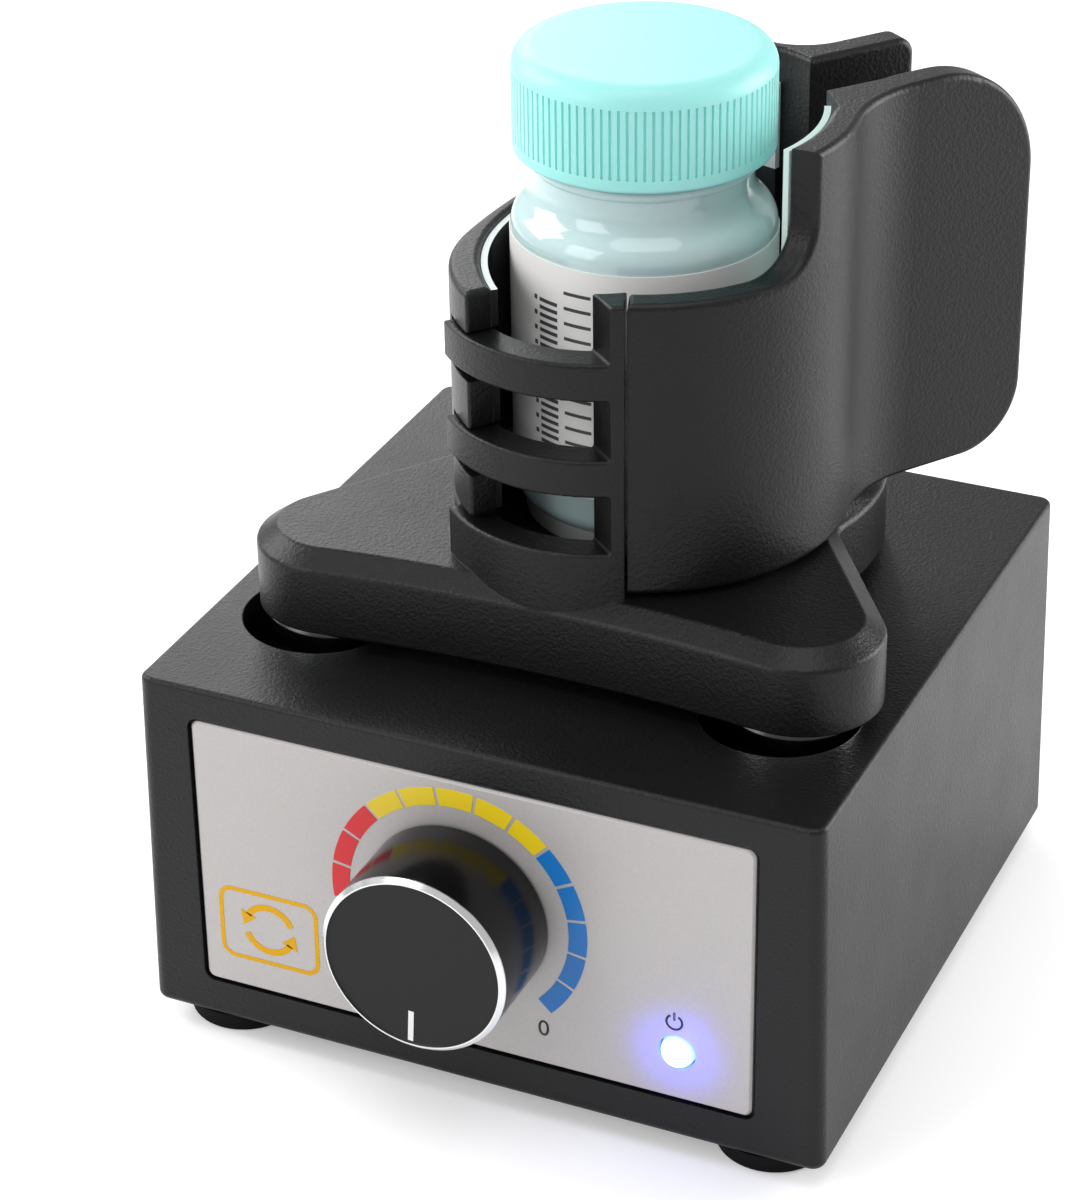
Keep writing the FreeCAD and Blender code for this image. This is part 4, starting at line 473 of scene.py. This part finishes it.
def print_ring(spot, outer, width, keep, thickness):
    """A flat printed ring on the panel; keep says at which angles, in degrees, it is there."""
    deselect_all()
    bpy.ops.mesh.primitive_circle_add(vertices=72, radius=outer, fill_type="NGON", location=spot,
                                      rotation=(math.pi / 2, 0, 0))
    bpy.ops.object.mode_set(mode="EDIT")
    bpy.ops.mesh.select_all(action="SELECT")
    bpy.ops.mesh.inset(thickness=width)
    bpy.ops.mesh.delete(type="FACE")
    pick_faces(lambda c: not keep(math.degrees(math.atan2(c.y, c.x)) % 360))
    bpy.ops.mesh.delete(type="FACE")
    raise_print(thickness)
    return bpy.context.object


def print_head(spot, radius, turn_deg, thickness):
    """A printed arrow head whose point looks along the given direction on the panel."""
    deselect_all()
    bpy.ops.mesh.primitive_circle_add(vertices=3, radius=radius, fill_type="NGON", location=spot,
                                      rotation=(math.pi / 2, math.radians(90 - turn_deg), 0))
    bpy.ops.object.mode_set(mode="EDIT")
    raise_print(thickness)
    return bpy.context.object


def print_frame(spot, width, height, corner, line, thickness):
    """A printed frame with round corners."""
    deselect_all()
    bpy.ops.mesh.primitive_plane_add(size=1, location=spot, rotation=(math.pi / 2, 0, 0))
    bpy.context.object.scale = (width, height, 1)
    bpy.ops.object.transform_apply(location=False, rotation=False, scale=True)
    bpy.ops.object.mode_set(mode="EDIT")
    bpy.ops.mesh.select_all(action="SELECT")
    bpy.ops.mesh.bevel(offset=corner, segments=6, affect="VERTICES")
    bpy.ops.mesh.select_all(action="SELECT")
    bpy.ops.mesh.inset(thickness=line)
    bpy.ops.mesh.delete(type="FACE")
    raise_print(thickness)
    return bpy.context.object


def join_all(pieces):
    """Makes one piece of several."""
    deselect_all()
    for piece in pieces:
        piece.select_set(True)
    bpy.context.view_layer.objects.active = pieces[0]
    bpy.ops.object.join()
    return bpy.context.object


class MIXER_OT_finish_nodes(bpy.types.Operator):
    """Gives every constructed part the finish of the real one"""

    bl_idname = "mixer.finish_nodes"
    bl_label = "Finish constructed parts"

    def execute(self, context):
        colours = context.scene.mixer_colours
        paint(["housing_shell", "base_cover", "lamp_holder", "platform", "right_jaw", "left_jaw",
               "power_inlet", "bearing_retainer", "motor_end_cap", "board_parts"],
              moulded_abs("leather_grain_black_abs", colours.plastic))
        # Moulded nitrile rubber: dull deep black with a fine dusty skin
        paint(["rubber_feet"], plain_finish("black_nitrile_rubber", "#0B0B0C", 0.7, grain_mm=0.8,
                                            strength=0.3, shine=0.12))
        # Pressed silicone sheet: pale, soft sheen, faintly pebbled
        paint(["bottle_mat"], plain_finish("grey_silicone_rubber", "#D4D7D6", 0.5, grain_mm=0.8,
                                           strength=0.2))
        # Turned and pressed steel under bright zinc: grey metal, clear but not mirror-like
        paint(["base_screws", "potentiometer", "potentiometer_nut", "inlet_nut", "motor_can",
               "motor_plate", "motor_plate_screws", "motor_shaft", "hub_grub_screw", "eccentric_pin",
               "bearing_inner_ring", "bearing_outer_ring", "clamp_pivot_pin", "clamp_spring",
               "potentiometer_shaft"],
              plain_finish("zinc_plated_steel", "#A9ABAE", 0.32, metallic=1.0, grain_mm=0.9))
        # Ground and lapped balls: a near mirror without any grain
        paint(["support_ball_front_left", "support_ball_front_right", "support_ball_rear",
               "bearing_balls"],
              plain_finish("polished_bearing_steel", "#D9DCE0", 0.06, metallic=1.0, strength=0.0))
        # Lathe-turned aluminium: light grey metal with a soft gleam
        paint(["eccentric_hub"], plain_finish("turned_aluminium", "#C2C4C7", 0.3, metallic=1.0))
        # Lathe-turned brass: warm yellow metal with a soft gleam
        paint(["counterweight"], plain_finish("turned_brass", "#C9A24F", 0.3, metallic=1.0))
        # Glass-fibre board under green solder mask: smooth satin green
        paint(["control_board"], plain_finish("green_circuit_board", "#1F5A35", 0.4))
        paint(["front_panel"], satin_panel("silver_coated_aluminium", colours.panel))
        # Cured screen inks on the dial: even, slightly glossy colours
        paint(["dial_band_low"], plain_finish("blue_screen_print", "#1677C6", 0.35))
        paint(["dial_band_middle"], plain_finish("yellow_screen_print", "#EFD21C", 0.35))
        paint(["dial_band_high"], plain_finish("red_screen_print", "#E0222B", 0.35))
        paint(["power_lamp"], lit_lamp("clear_epoxy_lamp"))
        paint(["knob_body"], anodised_knob("black_anodised_aluminium"))
        # Edge cut bright with a diamond tool: a white metal line round the knob's face
        paint(["knob_rim"], plain_finish("diamond_cut_aluminium", "#F4F5F6", 0.2, metallic=1.0,
                                         strength=0.05))
        # Enamel wiped into the milled pointer: plain satin white
        paint(["knob_pointer"], plain_finish("white_paint_fill", "#F4F4F2", 0.5))
        # Cut foam sheet: pale, without shine, with small closed cells
        paint(["right_jaw_liner", "bottle_cap_liner"],
              plain_finish("closed_cell_eva_foam", "#D9EFEA", 0.7, grain_mm=0.35, strength=0.5))
        # The lining's dark and pale colours are painted shade and painted light
        paint(["left_jaw_liner"], clear_lining("clear_vinyl_painted_light_and_shade"))
        paint(["bottle"], clear_bottle("tinted_clear_pet", colours.bottle))
        paint(["bottle_label"], paper_label("uncoated_paper_label"))
        paint(["bottle_cap"], moulded_cap("moulded_polypropylene", colours.cap))
        return {"FINISHED"}


class MIXER_OT_numeral(bpy.types.Operator):
    """Prints the plain figure at the dial's start"""

    bl_idname = "mixer.numeral"
    bl_label = "Dial figure"

    def execute(self, context):
        sizes = context.scene.mixer_sizes
        deselect_all()
        middle_x, middle_z = 10.6 * MM, 15.8 * MM
        # The text's size is this many times the height of its figure
        size_per_height = 1.4
        bpy.ops.object.text_add(location=(middle_x, PANEL_Y - sizes.print_thickness / 2, middle_z),
                                rotation=(math.pi / 2, 0, 0))
        text = context.object
        text.data.body = "0"
        text.data.align_x = "CENTER"
        text.data.align_y = "CENTER"
        text.data.size = sizes.numeral_height * size_per_height
        text.data.extrude = sizes.print_thickness / 2
        settle(text, "dial_figure_zero", black_ink())
        return {"FINISHED"}


class MIXER_OT_badge(bpy.types.Operator):
    """Stamps the plain turning sign in its round-cornered gold frame"""

    bl_idname = "mixer.badge"
    bl_label = "Turning sign"

    def execute(self, context):
        sizes = context.scene.mixer_sizes
        thick = sizes.print_thickness
        middle = Vector((PANEL_LOW.x + 10.45 * MM, PANEL_Y, PANEL_LOW.z + 10.75 * MM))
        corner, frame_line = 2.2 * MM, 0.65 * MM
        outer = sizes.badge_height * 0.35
        line = 1.0 * MM
        track = outer - line / 2
        head_radius = 1.5 * MM
        pieces = [print_frame(middle, sizes.badge_width, sizes.badge_height, corner, frame_line, thick)]
        pieces.append(print_ring(middle, outer, line, lambda a: 20 < a < 150 or 200 < a < 330, thick))
        # Each arrow head sits 8 degrees past the end of its arc and looks along the track
        for angle in (150 + 8, 330 + 8):
            turn = math.radians(angle)
            spot = middle + Vector((math.cos(turn), 0, math.sin(turn))) * track
            pieces.append(print_head(spot, head_radius, angle + 90, thick))
        # Gold foil pressed on hot: bright yellow metal, slightly uneven
        foil = plain_finish("hot_stamped_gold_foil", "#D9A528", 0.28, metallic=1.0, grain_mm=0.5)
        settle(join_all(pieces), "turning_sign", foil)
        return {"FINISHED"}


class MIXER_OT_power_sign(bpy.types.Operator):
    """Prints the usual power sign above the lamp"""

    bl_idname = "mixer.power_sign"
    bl_label = "Power sign"

    def execute(self, context):
        thick = context.scene.mixer_sizes.print_thickness
        middle = Vector((LAMP_X - 0.4 * MM, PANEL_Y, LAMP_Z + 4.9 * MM))
        radius, line = 1.3 * MM, 0.32 * MM
        bar_middle = middle + Vector((0, 0, 0.95 * MM))
        bar_length, bar_corner, bar_line = 1.3 * MM, 0.1 * MM, 0.12 * MM
        ring = print_ring(middle, radius, line, lambda a: not 58 < a < 122, thick)
        bar = print_frame(bar_middle, line, bar_length, bar_corner, bar_line, thick)
        settle(join_all([ring, bar]), "power_sign", black_ink())
        return {"FINISHED"}


class MIXER_OT_studio(bpy.types.Operator):
    """Sets up the white studio: floor, soft boxes, surroundings and camera"""

    bl_idname = "mixer.studio"
    bl_label = "Studio"

    def execute(self, context):
        scene = context.scene
        self.lay_floor()
        self.surround(scene)
        for box in SOFT_BOXES:
            self.hang_box(scene, *box)
        self.light_lamp(scene)
        self.place_camera(scene)
        scene.view_settings.view_transform = "Standard"
        return {"FINISHED"}

    def lay_floor(self):
        """Matt white paper that looks lighter to the camera, and a little in reflections."""
        seen_lift, glossy_share = 0.3, 0.2
        deselect_all()
        bpy.ops.mesh.primitive_plane_add(size=6.0, location=(0, 0, 0))
        floor = bpy.context.object
        floor.name = "studio_floor"
        material, tree, output = new_material("white_paper_sweep")
        path = add_node(tree, "ShaderNodeLightPath")
        shiny = add_node(tree, "ShaderNodeMath", {0: path.outputs["Is Glossy Ray"]}, {1: glossy_share},
                         operation="MULTIPLY")
        seen = add_node(tree, "ShaderNodeMath", {0: path.outputs["Is Camera Ray"], 1: shiny.outputs[0]},
                        operation="MAXIMUM")
        through = add_node(tree, "ShaderNodeMath",
                           {0: seen.outputs[0], 1: path.outputs["Is Transmission Ray"]},
                           operation="MAXIMUM")
        lift = add_node(tree, "ShaderNodeMath", {0: through.outputs[0]}, {1: seen_lift},
                        operation="MULTIPLY")
        paper = add_node(tree, "ShaderNodeBsdfDiffuse", values={"Color": linear("#F2F2F2")})
        glow = add_node(tree, "ShaderNodeEmission", {"Strength": lift.outputs[0]},
                        {"Color": linear("#FFFFFF")})
        both = add_node(tree, "ShaderNodeAddShader", {0: paper.outputs[0], 1: glow.outputs[0]})
        finish_material(tree, output, both.outputs[0])
        floor.data.materials.append(material)

    def surround(self, scene):
        """Surroundings that light the mixer at half strength and look white to the camera."""
        lit_level, seen_level = 0.5, 1.0
        world = bpy.data.worlds.new("white_studio")
        scene.world = world
        world.use_nodes = True
        tree = world.node_tree
        tree.nodes.clear()
        output = tree.nodes.new("ShaderNodeOutputWorld")
        path = add_node(tree, "ShaderNodeLightPath")
        seen = add_node(tree, "ShaderNodeMath",
                        {0: path.outputs["Is Camera Ray"], 1: path.outputs["Is Transmission Ray"]},
                        operation="MAXIMUM")
        level = add_node(tree, "ShaderNodeMix", {"Factor": seen.outputs[0]},
                         {"A": lit_level, "B": seen_level}, data_type="FLOAT")
        sky = add_node(tree, "ShaderNodeBackground", {"Strength": level.outputs["Result"]},
                       {"Color": linear("#FFFFFF")})
        finish_material(tree, output, sky.outputs[0])

    def hang_box(self, scene, name, place, aim, width, height, power):
        """One rectangular soft box."""
        light = bpy.data.lights.new(name, "AREA")
        light.shape = "RECTANGLE"
        light.size = width
        light.size_y = height
        light.energy = power
        lamp = bpy.data.objects.new(name, light)
        scene.collection.objects.link(lamp)
        look = Vector(aim) - Vector(place)
        turn = look.to_track_quat("-Z", "Y").to_matrix().to_4x4()
        lamp.matrix_world = Matrix.Translation(place) @ turn

    def light_lamp(self, scene):
        """The lamp's own faint blue light, just in front of it."""
        glow = bpy.data.lights.new("lamp_glow", "POINT")
        glow.color = linear("#2A30FF")[:3]
        glow.energy = 0.001
        glow.shadow_soft_size = 1.2 * MM
        spark = bpy.data.objects.new("lamp_glow", glow)
        spark.location = (LAMP_X, LAMP_LOW.y - 2.0 * MM, LAMP_Z)
        scene.collection.objects.link(spark)

    def place_camera(self, scene):
        """The camera, at the photograph's place and angle."""
        camera_data = bpy.data.cameras.new("photo_camera")
        camera_data.sensor_fit = "VERTICAL"
        camera_data.sensor_height = CAMERA_SENSOR
        camera_data.lens = CAMERA_LENS
        camera_data.clip_start = 0.01
        camera_data.clip_end = 20.0
        camera = bpy.data.objects.new("photo_camera", camera_data)
        scene.collection.objects.link(camera)
        turn = (Matrix.Rotation(math.radians(CAMERA_TURN), 4, "Z")
                @ Matrix.Rotation(math.radians(90 - CAMERA_TILT), 4, "X")
                @ Matrix.Rotation(math.radians(CAMERA_ROLL), 4, "Z"))
        housing_y = (SHELL_LOW.y + SHELL_HIGH.y) / 2
        camera.matrix_world = Matrix.Translation((CAMERA_X, CAMERA_Y + housing_y, CAMERA_Z)) @ turn
        scene.camera = camera


class MIXER_PT_panel(bpy.types.Panel):
    """Lists the steps that dress the mixer"""

    bl_label = "Mini vortex mixer"
    bl_idname = "MIXER_PT_panel"
    bl_space_type = "VIEW_3D"
    bl_region_type = "UI"
    bl_category = "Mixer"

    def draw(self, context):
        layout = self.layout
        for group in (context.scene.mixer_colours, context.scene.mixer_sizes):
            for key in group.bl_rna.properties.keys():
                if key not in ("rna_type", "name"):
                    layout.prop(group, key)
        for step in STEPS:
            layout.operator(step.bl_idname)


STEPS = (MIXER_OT_finish_nodes, MIXER_OT_numeral, MIXER_OT_badge, MIXER_OT_power_sign, MIXER_OT_studio)
CLASSES = (MixerColours, MixerSizes, *STEPS, MIXER_PT_panel)


def register():
    """Registers the classes and the scene's settings."""
    for item in CLASSES:
        bpy.utils.register_class(item)
    bpy.types.Scene.mixer_colours = PointerProperty(type=MixerColours)
    bpy.types.Scene.mixer_sizes = PointerProperty(type=MixerSizes)


def unregister():
    """Takes back what register did."""
    del bpy.types.Scene.mixer_sizes
    del bpy.types.Scene.mixer_colours
    for item in reversed(CLASSES):
        bpy.utils.unregister_class(item)


def main():
    """Dresses the mixer step by step."""
    register()
    bpy.ops.mixer.finish_nodes()
    bpy.ops.mixer.numeral()
    bpy.ops.mixer.badge()
    bpy.ops.mixer.power_sign()
    bpy.ops.mixer.studio()


if __name__ == "__main__":
    main()
